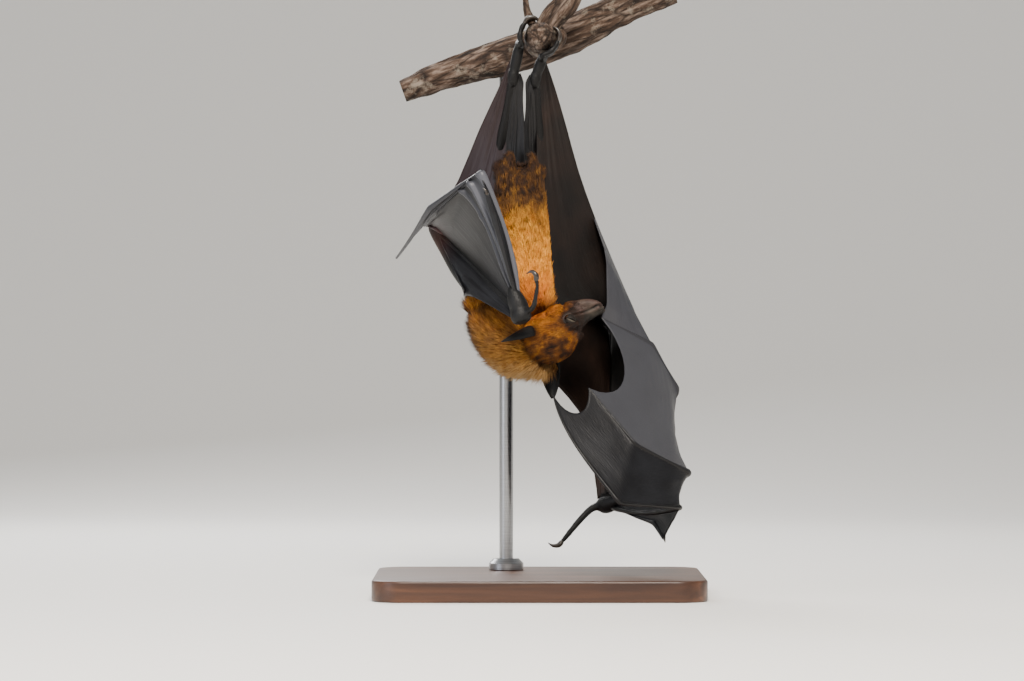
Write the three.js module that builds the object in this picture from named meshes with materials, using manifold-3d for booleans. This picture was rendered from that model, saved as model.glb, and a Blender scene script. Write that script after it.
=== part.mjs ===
// A life-size fruit bat that hangs by its feet from a cut piece of branch, held up by a plain display stand.
// Its left wing is folded across the chest and its right wing hangs half open like a cup.
// Millimetres, +Z up. The viewer looks along +Y, so the bat's left wing is on the -X side.
import * as THREE from "three";
import { mergeVertices } from "three/addons/utils/BufferGeometryUtils.js";
import Module from "manifold-3d";

const wasm = await Module();
wasm.setup();
const { Manifold } = wasm;

// ---- driving sizes ----
const forearm = 164; // elbow to wrist, which sets every other bone
const gap = 0.3; // left between neighbouring solids
const sliver = 0.12; // facets thinner than this are merged away
const skinThickness = 0.9; // of every wing and leg membrane
const boneShare = {
  upperArm: 0.64,
  forearm: 1,
  thumb: [0.09, 0.23],
  index: [0.485, 0.15],
  finger3: [0.75, 0.45, 0.66],
  finger4: [0.72, 0.39, 0.38],
  finger5: [0.72, 0.29, 0.31],
  shank: 0.49,
  thigh: 0.3,
};
const boneRadius = {
  upperArm: [12, 9, 7, 7.5],
  forearm: [7.5, 5.6, 4.4, 5.5, 7],
  wrist: [8.5, 8.5, 7, 4.5],
  thumb: [4.6, 3.2, 3],
  index: [3.2, 2.2, 2.6, 1.8],
  metacarpal: [4, 2.5, 2.3, 3.4],
  finger: [3.2, 1.9, 2.5, 1.6, 0.9],
  shank: [4.8, 4, 5.5, 7],
  thigh: [7, 9, 9],
  toe: [3, 2.5, 2.1],
};
const boneBow = 6; // how far the hand bones bow towards the thumb side
const tipBow = 4; // how far the last bone of finger 3 bows
const clawLength = { thumb: 15, index: 7 };
const wristEnd = 0.05; // where the hand membranes start, as a share of the hand bones
const cornerReach = 0.3; // how far along the bones a web cuts the corner at a joint
const cornerSlack = { left: 0.1, right: 0.5 }; // how much of the corner it cuts
const knuckleRoom = 5.6; // radius kept clear round each knuckle
const fingerEnd = 3; // the tip of a finger, where its joints are 0, 1, 2 and 3
const webSteps = [0.35, 0.65]; // where a web between two bones has vertices, as shares of its width
const eyeRadius = 5.8;
const earLength = 40;
const base = { width: 280, depth: 226, height: 18, corner: 26, bevel: 2, x: 6, y: 20 };
const rod = { radius: 6, x: -22, y: 78, foot: 5, collar: 15, collarHeight: 10 };
const branch = { radius: 15.5, length: 250, rise: 20, x: 6, y: 74, z: 475 };
const stub = { radius: 13, front: -19 };

// ---- the pose: each heading is [degrees round from +X towards +Y, degrees above the horizon] ----
// bow is the way that the hand bones bend.
const pose = {
  left: {
    shoulder: [-54, -16, 253],
    upperArm: [113, 38],
    forearm: [-58, -28],
    thumb: [[-40, 20], [-90, 50]],
    thumbClaw: [[-95, 70], [165, 40], [175, -25]],
    bow: [0, 0],
    tipBow: [135, -60],
    index: [[-151, 72], [-173, 73]],
    finger3: [[-171, 74], [130, -24], [108, -22]],
    finger4: [[173, 69], [122, -22], [110, -20]],
    finger5: [[159, 63], [118, -23], [105, -14]],
    ankle: [-16, 2, 442],
    shank: [110, -64],
    thigh: [-68, -37],
  },
  right: {
    shoulder: [16, 22, 247],
    upperArm: [58, -8],
    forearm: [-101, -74],
    thumb: [[-165, -20], [-157, -46]],
    thumbClaw: [[-165, -45], [180, -5], [170, 30]],
    bow: [0, -90],
    tipBow: [170, -35],
    index: [[-58, -9], [-71, -29]],
    finger3: [[-59, 1], [-137, 4], [153, 56]],
    finger4: [[-51, 15], [-145, 23], [162, 49]],
    finger5: [[-1, 57], [-157, 58], [-164, 26]],
    ankle: [3, 6, 441],
    shank: [84, -66],
    thigh: [-107, -35],
  },
};
// The trunk is turned a little, so that the belly faces between the viewer and the viewer's right.
const bodyLeft = heading([-155, 0]);
const bodyFront = heading([-65, 0]);
// The head is turned to the bat's right. Its crown points down, because the bat hangs, and is rolled
// towards the viewer.
const headRoll = 30;
const headCentre = new THREE.Vector3(5, -10, 218);
const headForward = heading([-5, 15]);
const headCrown = heading([-5, -75]).applyAxisAngle(headForward, THREE.MathUtils.degToRad(-headRoll));
const headLeft = headCrown.clone().cross(headForward);

const colour = {
  mantle: 0xb9782c,
  belly: 0xa5652a,
  face: 0x3d2a25,
  skin: 0x2b2828,
  claw: 0x1c1917,
  eye: 0x1a0f08,
  bark: 0x5a4c42,
  wood: 0x6b5844,
  steel: 0x9a9a98,
};

// ---- small helpers ----
function heading([round, up]) {
  const r = THREE.MathUtils.degToRad(round);
  const u = THREE.MathUtils.degToRad(up);
  return new THREE.Vector3(Math.cos(u) * Math.cos(r), Math.cos(u) * Math.sin(r), Math.sin(u));
}

// The joints of a chain of bones: where it starts, then the end of each bone.
function chain(start, shares, headings) {
  const joints = [new THREE.Vector3(...start)];
  headings.forEach((direction, i) => {
    joints.push(joints[i].clone().addScaledVector(heading(direction), shares[i] * forearm));
  });
  return joints;
}

// The point at t along a chain, where each whole number of t is a joint.
function onChain(joints, t) {
  const i = Math.min(Math.max(Math.floor(t), 0), joints.length - 2);
  return joints[i].clone().lerp(joints[i + 1], t - i);
}

function solid(geometry) {
  geometry.deleteAttribute("normal");
  geometry.deleteAttribute("uv");
  const merged = mergeVertices(geometry, 1e-3);
  return new Manifold(
    new wasm.Mesh({
      numProp: 3,
      vertProperties: merged.attributes.position.array,
      triVerts: new Uint32Array(merged.index.array),
    }),
  );
}

// Moves every vertex of a geometry to where place(x, y, z) says.
function shaped(geometry, place) {
  const spot = geometry.attributes.position;
  for (let i = 0; i < spot.count; i++) {
    spot.setXYZ(i, ...place(spot.getX(i), spot.getY(i), spot.getZ(i)).toArray());
  }
  return solid(geometry);
}

// How wide a unit ball is at height y once its ends are squared off.
function blunt(y) {
  return Math.pow(Math.max(1 - y * y, 0), 0.2);
}

// A tapered limb with blunt ends along a smooth curve through the points.
function limb(points, radii, { sides = 8, rings = 8, grow = 0 } = {}) {
  const path = new THREE.CatmullRomCurve3(points);
  const width = new THREE.SplineCurve(radii.map((r, i) => new THREE.Vector2(i, r)));
  const run = points.at(-1).clone().sub(points[0]).normalize();
  const reference = Math.abs(run.z) < 0.8 ? new THREE.Vector3(0, 0, 1) : new THREE.Vector3(1, 0, 0);
  return shaped(new THREE.SphereGeometry(1, sides, rings), (x, y, z) => {
    const t = (1 - y) / 2;
    const tangent = path.getTangent(t);
    const across = reference.clone().cross(tangent).normalize();
    const other = tangent.clone().cross(across);
    const round = Math.hypot(x, z) || 1;
    const radius = ((width.getPoint(t).y + grow) * blunt(y)) / round;
    const end = grow * -y;
    return path
      .getPoint(t)
      .addScaledVector(across, x * radius)
      .addScaledVector(other, z * radius)
      .addScaledVector(tangent, end);
  });
}

// A rounded form through oval sections, each [centre, half width, half depth] along two fixed directions,
// where wide x deep points along the form.
function form(sections, wide, deep, { sides = 16, rings = 12, grow = 0 } = {}) {
  const path = new THREE.CatmullRomCurve3(sections.map(([centre]) => centre));
  const size = new THREE.CatmullRomCurve3(sections.map(([, w, d]) => new THREE.Vector3(w, d, 0)));
  return shaped(new THREE.SphereGeometry(1, sides, rings), (x, y, z) => {
    const t = (1 - y) / 2;
    const round = Math.hypot(x, z) || 1;
    const half = size.getPoint(t).multiplyScalar(blunt(y) / round);
    return path
      .getPoint(t)
      .addScaledVector(wide, x * (half.x + grow / round))
      .addScaledVector(deep, z * (half.y + grow / round))
      .addScaledVector(path.getTangent(t), grow * -y);
  });
}

// A skin of even thickness over surface(u, v), with u and v from 0 to 1.
function sheet(surface, across, down, { grow = 0, thickness = skinThickness } = {}) {
  const step = 0.02;
  return shaped(new THREE.BoxGeometry(1, 1, 1, across, down, 1), (x, y, z) => {
    const u = x + 0.5;
    const v = y + 0.5;
    const inU = Math.min(Math.max(u, step), 1 - step);
    const inV = Math.min(Math.max(v, step), 1 - step);
    const alongU = surface(inU + step, inV).sub(surface(inU - step, inV));
    const alongV = surface(inU, inV + step).sub(surface(inU, inV - step));
    const normal = alongU.cross(alongV).normalize();
    return surface(u, v).addScaledVector(normal, z * (thickness + 2 * grow));
  });
}

// The surface between two chains of joints, from t = from[i] to t = to[i] on each chain.
function between(near, far, from, to) {
  return (u, v) =>
    onChain(near, THREE.MathUtils.lerp(from[0], to[0], u)).lerp(
      onChain(far, THREE.MathUtils.lerp(from[1], to[1], u)),
      v,
    );
}

// A webbed fan over several bones, as one closed skin that is thick along each bone. A bone is
// { place(t), radius(t) }. Between the bones the skin cuts the corners at the joints, by a slack for each
// web, and its free edge is drawn in by a share of its length.
function fan(bones, [from, to], rows, { grow = 0, slack, drawnIn = [] } = {}) {
  const toward = (i, j, t) => bones[j].place(t).sub(bones[i].place(t));
  const run = (i, t) => bones[i].place(Math.min(t + 0.05, to)).sub(bones[i].place(t - 0.05)).normalize();
  const room = (i, t) => toward(i, i === 0 ? 1 : i - 1, t).cross(run(i, t)).length();
  const radius = (i, t) => Math.min(bones[i].radius(t), 0.35 * room(i, t) + 0.5);
  const beside = (i, j, t, share) => {
    const across = toward(i, j, t);
    const off = Math.min(radius(i, t), 0.3 * across.length());
    return bones[i].place(t).addScaledVector(across.normalize(), off * share);
  };
  const web = (i, v) => (t) => {
    const middle = 4 * v * (1 - v);
    const s = from + (t - from) * (1 - (drawnIn[i] ?? 0) * middle);
    const line = (at) => bones[i].place(at).lerp(bones[i + 1].place(at), v);
    const back = line(Math.max(s - cornerReach, 0));
    const ahead = line(Math.min(s + cornerReach, fingerEnd));
    return line(s).lerp(back.lerp(ahead, 0.5), slack[i] * middle);
  };
  const skin = () => skinThickness / 2;
  const columns = [];
  bones.forEach((bone, i) => {
    const isLast = i === bones.length - 1;
    const other = i === 0 ? 1 : i - 1;
    const rim = { place: (t) => beside(i, other, t, -0.8 - grow / 2), half: (t) => radius(i, t) * 0.4 };
    if (i === 0) columns.push(rim);
    if (i > 0) columns.push({ place: (t) => beside(i, i - 1, t, 1), half: skin });
    columns.push({ place: bone.place, half: (t) => radius(i, t) });
    if (isLast) columns.push(rim);
    else {
      columns.push({ place: (t) => beside(i, i + 1, t, 1), half: skin });
      webSteps.forEach((v) => columns.push({ place: web(i, v), half: skin }));
    }
  });
  const last = columns.length - 1;
  const step = (to - from) / 40;
  const longer = grow / 50;
  return shaped(new THREE.BoxGeometry(1, 1, 1, rows, last, 1), (x, y, z) => {
    const t = from + (to - from) * (x + 0.5) + 2 * x * longer;
    const k = Math.round((y + 0.5) * last);
    const { place, half } = columns[k];
    const along = place(Math.min(t + step, to)).sub(place(Math.max(t - step, from)));
    const across = columns[Math.min(k + 1, last)].place(t).sub(columns[Math.max(k - 1, 0)].place(t));
    const normal = along.cross(across).normalize();
    return place(t).addScaledVector(normal, 2 * z * (half(t) + grow));
  });
}

function union(solids) {
  return Manifold.union(solids);
}

function geometryOf(piece) {
  const { numProp, vertProperties, triVerts } = piece.getMesh();
  const corners = Array.from(triVerts, (i) => [...vertProperties.subarray(i * numProp, i * numProp + 3)]);
  return new THREE.BufferGeometry().setAttribute(
    "position",
    new THREE.Float32BufferAttribute(corners.flat(), 3),
  );
}

function biggest(piece) {
  return piece.decompose().reduce((a, b) => (a.volume() > b.volume() ? a : b));
}

// The largest body of a piece, without slivers or vertices that all but touch.
function largest(piece) {
  return biggest(solid(geometryOf(biggest(piece.simplify(sliver)))));
}

// What is left of a piece once its neighbours are cut away.
function carve(piece, ...tools) {
  return largest(piece.subtract(union(tools)));
}

const bat = new THREE.Group();
bat.name = "fruit_bat";

function add(name, piece, tint, roughness = 0.7, metalness = 0) {
  const material = new THREE.MeshStandardMaterial({ color: tint, roughness, metalness });
  const mesh = new THREE.Mesh(geometryOf(largest(piece)), material);
  mesh.name = name;
  bat.add(mesh);
}

// ---- stand: a flat base, a steel rod with a collar, and the piece of branch on top ----
function standBase() {
  const outline = new THREE.Shape();
  const w = base.width / 2 - base.bevel;
  const d = base.depth / 2 - base.bevel;
  const r = base.corner;
  outline.moveTo(-w + r, -d);
  outline.absarc(w - r, -d + r, r, -Math.PI / 2, 0);
  outline.absarc(w - r, d - r, r, 0, Math.PI / 2);
  outline.absarc(-w + r, d - r, r, Math.PI / 2, Math.PI);
  outline.absarc(-w + r, -d + r, r, Math.PI, 1.5 * Math.PI);
  const slab = new THREE.ExtrudeGeometry(outline, {
    depth: base.height - base.bevel,
    bevelThickness: base.bevel,
    bevelSize: base.bevel,
    bevelSegments: 1,
    curveSegments: 3,
  });
  const plate = solid(slab.translate(base.x, base.y, 0));
  return plate.trimByPlane([0, 0, 1], 0);
}

function standRod(grow = 0) {
  const top = branch.z + (rod.x - branch.x) * Math.tan(THREE.MathUtils.degToRad(branch.rise));
  const height = top - rod.foot + grow;
  const bar = new THREE.CylinderGeometry(rod.radius + grow, rod.radius + grow, height, 16);
  bar.rotateX(Math.PI / 2);
  return solid(bar.translate(rod.x, rod.y, rod.foot + height / 2 - grow));
}

function standCollar() {
  const inner = rod.radius + gap;
  const low = base.height + gap;
  const high = base.height + rod.collarHeight;
  const profile = [
    [inner, low],
    [rod.collar, low],
    [rod.collar, high - 4],
    [rod.collar - 4, high],
    [inner, high],
    [inner, low],
  ].map(([r, z]) => new THREE.Vector2(r, z));
  const ring = new THREE.LatheGeometry(profile, 16).rotateX(Math.PI / 2);
  return solid(ring.translate(rod.x, rod.y, 0));
}

// A knotty thick branch with sawn ends, a stub towards the viewer that the feet grip, a stem and a twig.
function perch(grow = 0) {
  const along = heading([0, branch.rise]);
  const middle = new THREE.Vector3(branch.x, branch.y, branch.z);
  const bends = [[0, 0], [3, 2], [-3, -2], [2, -3], [-2, 3], [0, 0]];
  const points = bends.map(([y, z], i) =>
    middle
      .clone()
      .addScaledVector(along, (i / (bends.length - 1) - 0.5) * (branch.length + 20))
      .add(new THREE.Vector3(0, y, z)),
  );
  const swell = [0.85, 0.92, 1.05, 1.08, 0.95, 0.88].map((k) => k * branch.radius);
  const log = limb(points, swell, { sides: 10, rings: 12, grow });
  const sawn = [1, -1].reduce(
    (piece, end) =>
      piece.trimByPlane(along.clone().multiplyScalar(-end).toArray(), -branch.length / 2 - end * middle.dot(along)),
    log,
  );
  const { x, y, z } = branch;
  const r = stub.radius;
  const grip = limb(
    [[x, y, z], [x + 1, 44, z - 2], [x, 12, z], [x, stub.front, z]].map((p) => new THREE.Vector3(...p)),
    [1.3, 1.05, 1, 1, 0.9].map((k) => k * r),
    { sides: 10, rings: 6, grow },
  );
  const knot = limb(
    [[x + 8, 34, z - 8], [x + 12, 30, z + 2], [x + 10, 26, z + 10]].map((p) => new THREE.Vector3(...p)),
    [8, 12, 9],
    { sides: 8, rings: 6, grow },
  );
  const stem = limb(
    [[x + 2, 26, z + 2], [x + 12, 24, z + 18], [x + 24, 22, z + 30], [x + 34, 20, z + 46]].map(
      (p) => new THREE.Vector3(...p),
    ),
    [12, 11, 10.5, 10.5],
    { sides: 8, rings: 5, grow },
  );
  const twig = limb(
    [[x - 4, 16, z + 8], [x - 10, 14, z + 22], [x - 11, 12, z + 36]].map((p) => new THREE.Vector3(...p)),
    [4.5, 3.6, 3],
    { sides: 6, rings: 5, grow },
  );
  const cutHeight = z + 38;
  return union([sawn, grip, knot, stem, twig]).trimByPlane([0, 0, -1], -cutHeight);
}

// ---- head, neck and trunk ----
function onHead(forward, left, crown) {
  return headCentre
    .clone()
    .addScaledVector(headForward, forward)
    .addScaledVector(headLeft, left)
    .addScaledVector(headCrown, crown);
}

// Sections of the head from the back of the skull to the nose: [forward, crown, jaw, half width].
const headSections = [
  [-26, 16.7, -19.1, 14],
  [-14, 24.6, -24.6, 22],
  [0, 28.4, -26.6, 24.5],
  [13, 28.2, -27, 23],
  [24, 23.1, -27.1, 19],
  [32, 13.1, -26.3, 15.5],
  [38, 1.7, -25.3, 12.5],
  [45, -4.5, -23.8, 10],
  [53, -7.1, -21.5, 8.6],
  [60.5, -9.1, -18.1, 7],
];

function skull(grow = 0) {
  const sections = headSections.map(([forward, crown, jaw, half]) => [
    onHead(forward, 0, (crown + jaw) / 2),
    half,
    (crown - jaw) / 2,
  ]);
  return form(sections, headLeft, headCrown, { sides: 14, rings: 12, grow });
}

const mouth = { back: 33, front: 66, crown: -17.3, width: 40, opening: 0.8, depth: 1.6 };
const nostril = { forward: 59.5, left: 4.2, crown: -11.4, radius: 1.7 };

// The head with its closed mouth as a groove and two nostrils.
function head() {
  const slit = solid(new THREE.BoxGeometry(mouth.front - mouth.back, mouth.width, mouth.opening));
  const turn = new THREE.Matrix4().makeBasis(headForward, headLeft, headCrown);
  turn.setPosition(onHead((mouth.front + mouth.back) / 2, 0, mouth.crown));
  const groove = slit.transform(turn.toArray()).subtract(skull(-mouth.depth));
  const nostrils = [1, -1].map((side) =>
    Manifold.sphere(nostril.radius, 6).translate(
      onHead(nostril.forward, side * nostril.left, nostril.crown).toArray(),
    ),
  );
  return skull().subtract(union([groove, ...nostrils]));
}

function trunk(grow = 0) {
  const sections = [
    [[-14, 4, 222], 32, 29],
    [[-16, 7, 236], 37, 31],
    [[-10, 11, 262], 30, 28],
    [[-9, 10, 290], 28, 26],
    [[-9, 9, 325], 25.5, 24],
    [[-9, 11, 358], 21, 19],
    [[-9, 13, 380], 15, 13],
  ].map(([centre, wide, deep]) => [new THREE.Vector3(...centre), wide, deep]);
  return form(sections, bodyLeft, bodyFront, { sides: 16, rings: 12, grow });
}

function neck(grow = 0) {
  const sections = [
    [[0, -8, 189], 21, 19],
    [[-5, -5, 202], 31, 27],
    [[-11, -1, 216], 37, 31],
    [[-17, 3, 232], 42, 33],
    [[-21, 6, 248], 42, 31],
  ].map(([centre, wide, deep]) => [new THREE.Vector3(...centre), wide, deep]);
  return form(sections, bodyLeft, bodyFront, { sides: 16, rings: 10, grow });
}

function wholeBody(grow = 0) {
  return union([trunk(grow), neck(grow), skull(grow)]);
}

const headCut = { through: onHead(-6, 0, 0), facing: heading([-5, -41]) };
const neckCut = { through: new THREE.Vector3(0, 0, 240), facing: heading([-155, 82]) };

// The part of a solid on the side of a cut that its facing points to, or on the other side.
function sideOf(piece, cut, side) {
  const facing = cut.facing.clone().multiplyScalar(side);
  return largest(piece.trimByPlane(facing.toArray(), facing.dot(cut.through) + gap / 2));
}

function eye(side, grow = 0) {
  return Manifold.sphere(eyeRadius + grow, 12).translate(onHead(30.5, side * 12.2, -3.3).toArray());
}

// The left ear is held back and the right one up. Each is a pointed leaf, cupped round its own length.
const earPose = {
  left: { side: 1, tip: [-27, 41, 18], wide: headCrown },
  right: { side: -1, tip: [-2, -40, 35], wide: headForward },
};
function ear(name, grow = 0) {
  const { side, tip, wide } = earPose[name];
  const root = onHead(2, side * 20, 0);
  const run = onHead(...tip).sub(root).setLength(earLength);
  const across = wide.clone().addScaledVector(run, -wide.dot(run) / run.lengthSq()).normalize();
  const outward = run.clone().cross(across).normalize().multiplyScalar(side);
  const cup = 1.1;
  const leaf = (u, v) => {
    const angle = (v * 2 - 1) * cup;
    const half = 9.5 * Math.pow(Math.sin(Math.PI * (0.22 + 0.76 * u)), 0.8);
    return root
      .clone()
      .addScaledVector(run, u)
      .addScaledVector(across, half * Math.sin(angle) * side)
      .addScaledVector(outward, half * (Math.cos(angle) - 0.6));
  };
  return sheet(leaf, 7, 3, { grow, thickness: 1.6 });
}

// ---- legs and feet ----
const footSide = {
  left: { start: 208, turn: -1, spread: -1, bar: [-10.5, 468] },
  right: { start: -82, turn: 1, spread: 3, bar: [9, 457] },
};
const toeCount = 5;
const toeSpacing = 6;

// A point on the ring round the stub, at an angle in degrees from +X towards +Z.
function onStub(angle, y, off) {
  const a = THREE.MathUtils.degToRad(angle);
  const r = stub.radius + off;
  return new THREE.Vector3(branch.x + r * Math.cos(a), y, branch.z + r * Math.sin(a));
}

function toePlaces(side) {
  const { spread } = footSide[side];
  return Array.from({ length: toeCount }, (_, i) => (i - (toeCount - 1) / 2) * toeSpacing + spread);
}

function toe(side, y, grow = 0) {
  const { start, turn } = footSide[side];
  const points = [0, 36, 72].map((swing) => onStub(start + turn * swing, y, 3.4));
  return limb(points, boneRadius.toe, { sides: 5, rings: 5, grow });
}

function toeClaw(side, y, grow = 0) {
  const { start, turn } = footSide[side];
  const points = [[70, 3.6], [92, 4.2], [116, 1.2]].map(([swing, off]) => onStub(start + turn * swing, y, off));
  return limb(points, [2, 1.5, 0.5], { sides: 5, rings: 5, grow });
}

function foot(side, grow = 0) {
  const { bar, spread } = footSide[side];
  const ankle = new THREE.Vector3(...pose[side].ankle);
  const [x, z] = bar;
  const reach = ((toeCount - 1) / 2) * toeSpacing;
  const ball = new THREE.Vector3(x, spread, z);
  const row = [-reach, 0, reach].map((y) => new THREE.Vector3(x, y + spread, z));
  const sole = limb([ankle, ankle.clone().lerp(ball, 0.5), ball], [4.6, 4.8, 5.2], { sides: 7, rings: 5, grow });
  const toes = toePlaces(side).map((y) => toe(side, y, grow));
  return union([sole, limb(row, [2.6, 4.2, 2.6], { sides: 6, rings: 6, grow }), ...toes]);
}

function legJoints(side) {
  const { ankle, shank, thigh } = pose[side];
  return chain(ankle, [boneShare.shank, boneShare.thigh], [shank, thigh]);
}

function shank(side, grow = 0) {
  const [ankle, knee] = legJoints(side);
  return limb([ankle, ankle.clone().lerp(knee, 0.5), knee], boneRadius.shank, { grow });
}

function thigh(side, grow = 0) {
  const [, knee, hip] = legJoints(side);
  return limb([knee, knee.clone().lerp(hip, 0.5), hip], boneRadius.thigh, { grow });
}

// The narrow membrane along the inside of a leg, from the ankle to the rump.
const rump = new THREE.Vector3(-7, 13, 372);
function legMembrane(side, grow = 0) {
  const [ankle, knee] = legJoints(side);
  const inward = side === "left" ? 1 : -1;
  const edge = [
    ankle.clone().add(new THREE.Vector3(inward * 3, 1, -6)),
    ankle.clone().add(new THREE.Vector3(inward * 7.5, 6, -32)),
    rump.clone().add(new THREE.Vector3(inward * -4, 0, 6)),
  ];
  const leg = [ankle.clone().add(new THREE.Vector3(0, 0, -2)), ankle.clone().lerp(knee, 0.4), knee];
  return sheet(between(leg, edge, [0, 0], [2, 2]), 8, 2, { grow });
}

// ---- wings ----
// Every joint of a wing, from the shoulder out.
function wingJoints(side) {
  const angles = pose[side];
  const arm = chain(angles.shoulder, [boneShare.upperArm, boneShare.forearm], [angles.upperArm, angles.forearm]);
  const wrist = arm[2].toArray();
  const fingers = Object.fromEntries(
    ["thumb", "index", "finger3", "finger4", "finger5"].map((name) => [
      name,
      chain(wrist, boneShare[name], angles[name]),
    ]),
  );
  return { arm, ...fingers };
}
const joints = { left: wingJoints("left"), right: wingJoints("right") };

// The outer edge of each side membrane, from the ankle to the last joint of finger 5, and where it is
// fixed to the leg and the body.
const flank = {
  left: {
    edge: [[-19, 4, 455], [-27.5, 14, 433], [-45, 31, 399], [-64, 50, 350], [-78, 49, 333], [-86, 47, 324]],
    body: [[-15, 4, 453], [-18, 8, 432], [-26, 33, 374], [-30, 16, 340], [-50, 6, 280], [-68, 26, 291]],
  },
  right: {
    edge: [[12, 18, 454], [19.5, 26, 434], [30.6, 36, 397], [39.2, 48, 364], [54.2, 58, 323], [70, 64, 285], [89, 62, 241]],
    body: [[8, 10, 452], [4, 12, 432], [8, 36, 372], [10, 27, 340], [18, 24, 300], [22, 30, 256], [42, 64, 243]],
    flap: [[53, 54, 325], [58, 46, 309], [62, 42, 298], [64, 39, 286], [64.5, 39, 248]],
  },
};

function upperArm(side, grow = 0) {
  const [shoulder, elbow] = joints[side].arm;
  return limb([shoulder, shoulder.clone().lerp(elbow, 0.5), elbow], boneRadius.upperArm, { grow });
}

function forearmOf(side, grow = 0) {
  const [, elbow, wrist] = joints[side].arm;
  const points = [0, 0.33, 0.67, 1].map((t) => elbow.clone().lerp(wrist, t));
  return limb(points, boneRadius.forearm, { rings: 10, grow });
}

// The radius at t of a bone whose radii are spread evenly from t = from to t = to.
function thick(radii, from, to) {
  const width = new THREE.SplineCurve(radii.map((r, i) => new THREE.Vector2(i, r)));
  return (t) => width.getPoint(THREE.MathUtils.clamp((t - from) / (to - from), 0, 1)).y;
}

// Fingers 3 to 5, with their hand bones bent a little.
function longBones(side) {
  const { finger3, finger4, finger5 } = joints[side];
  const inPalm = thick(boneRadius.metacarpal, wristEnd, 1);
  const beyond = thick(boneRadius.finger, 1, fingerEnd);
  return [finger3, finger4, finger5].map((finger, i) => {
    const aside = heading(pose[side].bow).multiplyScalar(boneBow / (i + 1));
    const last = heading(pose[side].tipBow).multiplyScalar(i === 0 ? tipBow : 0);
    return {
      place: (t) =>
        onChain(finger, t)
          .addScaledVector(aside, Math.sin(Math.PI * Math.min(t, 1)))
          .addScaledVector(last, Math.sin(Math.PI * Math.max(t - 2, 0))),
      radius: (t) => (t > 1 ? beyond(t) : inPalm(t)),
    };
  });
}

// The index finger is short, so all of it lies beside the hand bone of finger 3.
function indexBone(side) {
  const [hand, tip] = boneShare.index;
  const middle = hand / (hand + tip);
  return {
    place: (t) => onChain(joints[side].index, t < middle ? t / middle : 1 + (t - middle) / (1 - middle)),
    radius: thick(boneRadius.index, wristEnd, 1),
  };
}

// The wrist, the hand bones and the membranes between them.
function palm(side, grow = 0) {
  const [wrist, knuckle] = joints[side].finger4;
  const knob = limb([wrist.clone().lerp(knuckle, -0.04), wrist.clone().lerp(knuckle, 0.2)], boneRadius.wrist, {
    sides: 8,
    rings: 6,
    grow,
  });
  const bones = [indexBone(side), ...longBones(side)];
  const slack = cornerSlack[side];
  return union([knob, fan(bones, [wristEnd, 1], 5, { grow, slack: [0, slack, slack] })]);
}

// Room for the round ends of the hand bones.
function knuckles(side) {
  const { finger3, finger4, finger5 } = joints[side];
  return union([finger3, finger4, finger5].map((f) => Manifold.sphere(knuckleRoom, 8).translate(f[1].toArray())));
}

// The outer bones of fingers 3 to 5 and the membranes between them. On the folded wing the bones lie against
// each other as far as webStart, so webs start there.
const webStart = 1.7;
const drawnIn = [0.14, 0.3];
function fingers(side, grow = 0) {
  const bones = longBones(side);
  const slack = cornerSlack[side];
  if (side === "right") return fan(bones, [1.02, fingerEnd], 8, { grow, slack: [slack, slack], drawnIn });
  const steps = Array.from({ length: 9 }, (_, i) => THREE.MathUtils.lerp(1.02, fingerEnd, i / 8));
  const tubes = bones.map(({ place, radius }) => limb(steps.map(place), steps.map(radius), { sides: 6, rings: 12, grow }));
  const webs = drawnIn.map((share, i) => {
    const web = (u, v) => {
      const t = THREE.MathUtils.lerp(webStart, fingerEnd - 0.02, u * (1 - share * 4 * v * (1 - v)));
      return bones[i].place(t).lerp(bones[i + 1].place(t), v);
    };
    return sheet(web, 5, 3, { grow });
  });
  return union([...tubes, ...webs]);
}

// Room for the outer bones of finger 5, where the side membrane ends.
function besideFinger5(side) {
  const [, knuckle, middle, tip] = joints[side].finger5;
  const room = [knuckleRoom, knuckleRoom];
  return union([limb([knuckle, middle], room, { rings: 4 }), limb([middle, tip], room, { rings: 4 })]);
}

function thumb(side, grow = 0) {
  return limb(joints[side].thumb, boneRadius.thumb, { sides: 8, rings: 7, grow });
}

// A hooked claw that goes on from the end of a digit.
function claw(start, length, headings, width, grow = 0) {
  const points = [start.clone()];
  headings.forEach((direction, i) => {
    points.push(points[i].clone().addScaledVector(heading(direction), length / headings.length));
  });
  return limb(points, [width, width * 0.8, width * 0.5, 0.4], { sides: 6, rings: 6, grow });
}

function thumbClaw(side, grow = 0) {
  return claw(joints[side].thumb[2], clawLength.thumb, pose[side].thumbClaw, 2.8, grow);
}

function indexClaw(side, grow = 0) {
  const last = pose[side].index[1];
  return claw(joints[side].index[2], clawLength.index, [last, [last[0], last[1] - 30]], 1.7, grow);
}

// The membrane in front of the arm, from the shoulder to the wrist.
const frontEdge = {
  left: [[-62, -8, 257], [-52, -27, 256], [-33, -47, 245], [-18, -61, 236]],
  right: [[-2, 26, 208], [21, 42, 179], [43, 58, 156], [50, 63, 131], [54, 66, 105], [57, 66, 80]],
};
function frontMembrane(side, grow = 0) {
  const edge = frontEdge[side].map((p) => new THREE.Vector3(...p));
  const { arm } = joints[side];
  const back = [0.1, 0.5, 1, 1.35, 1.7, 1.96].map((t) => onChain(arm, t));
  const last = edge.length - 1;
  return sheet(between(edge, back, [0, 0], [last, back.length - 1]), 10, 4, { grow });
}

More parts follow.
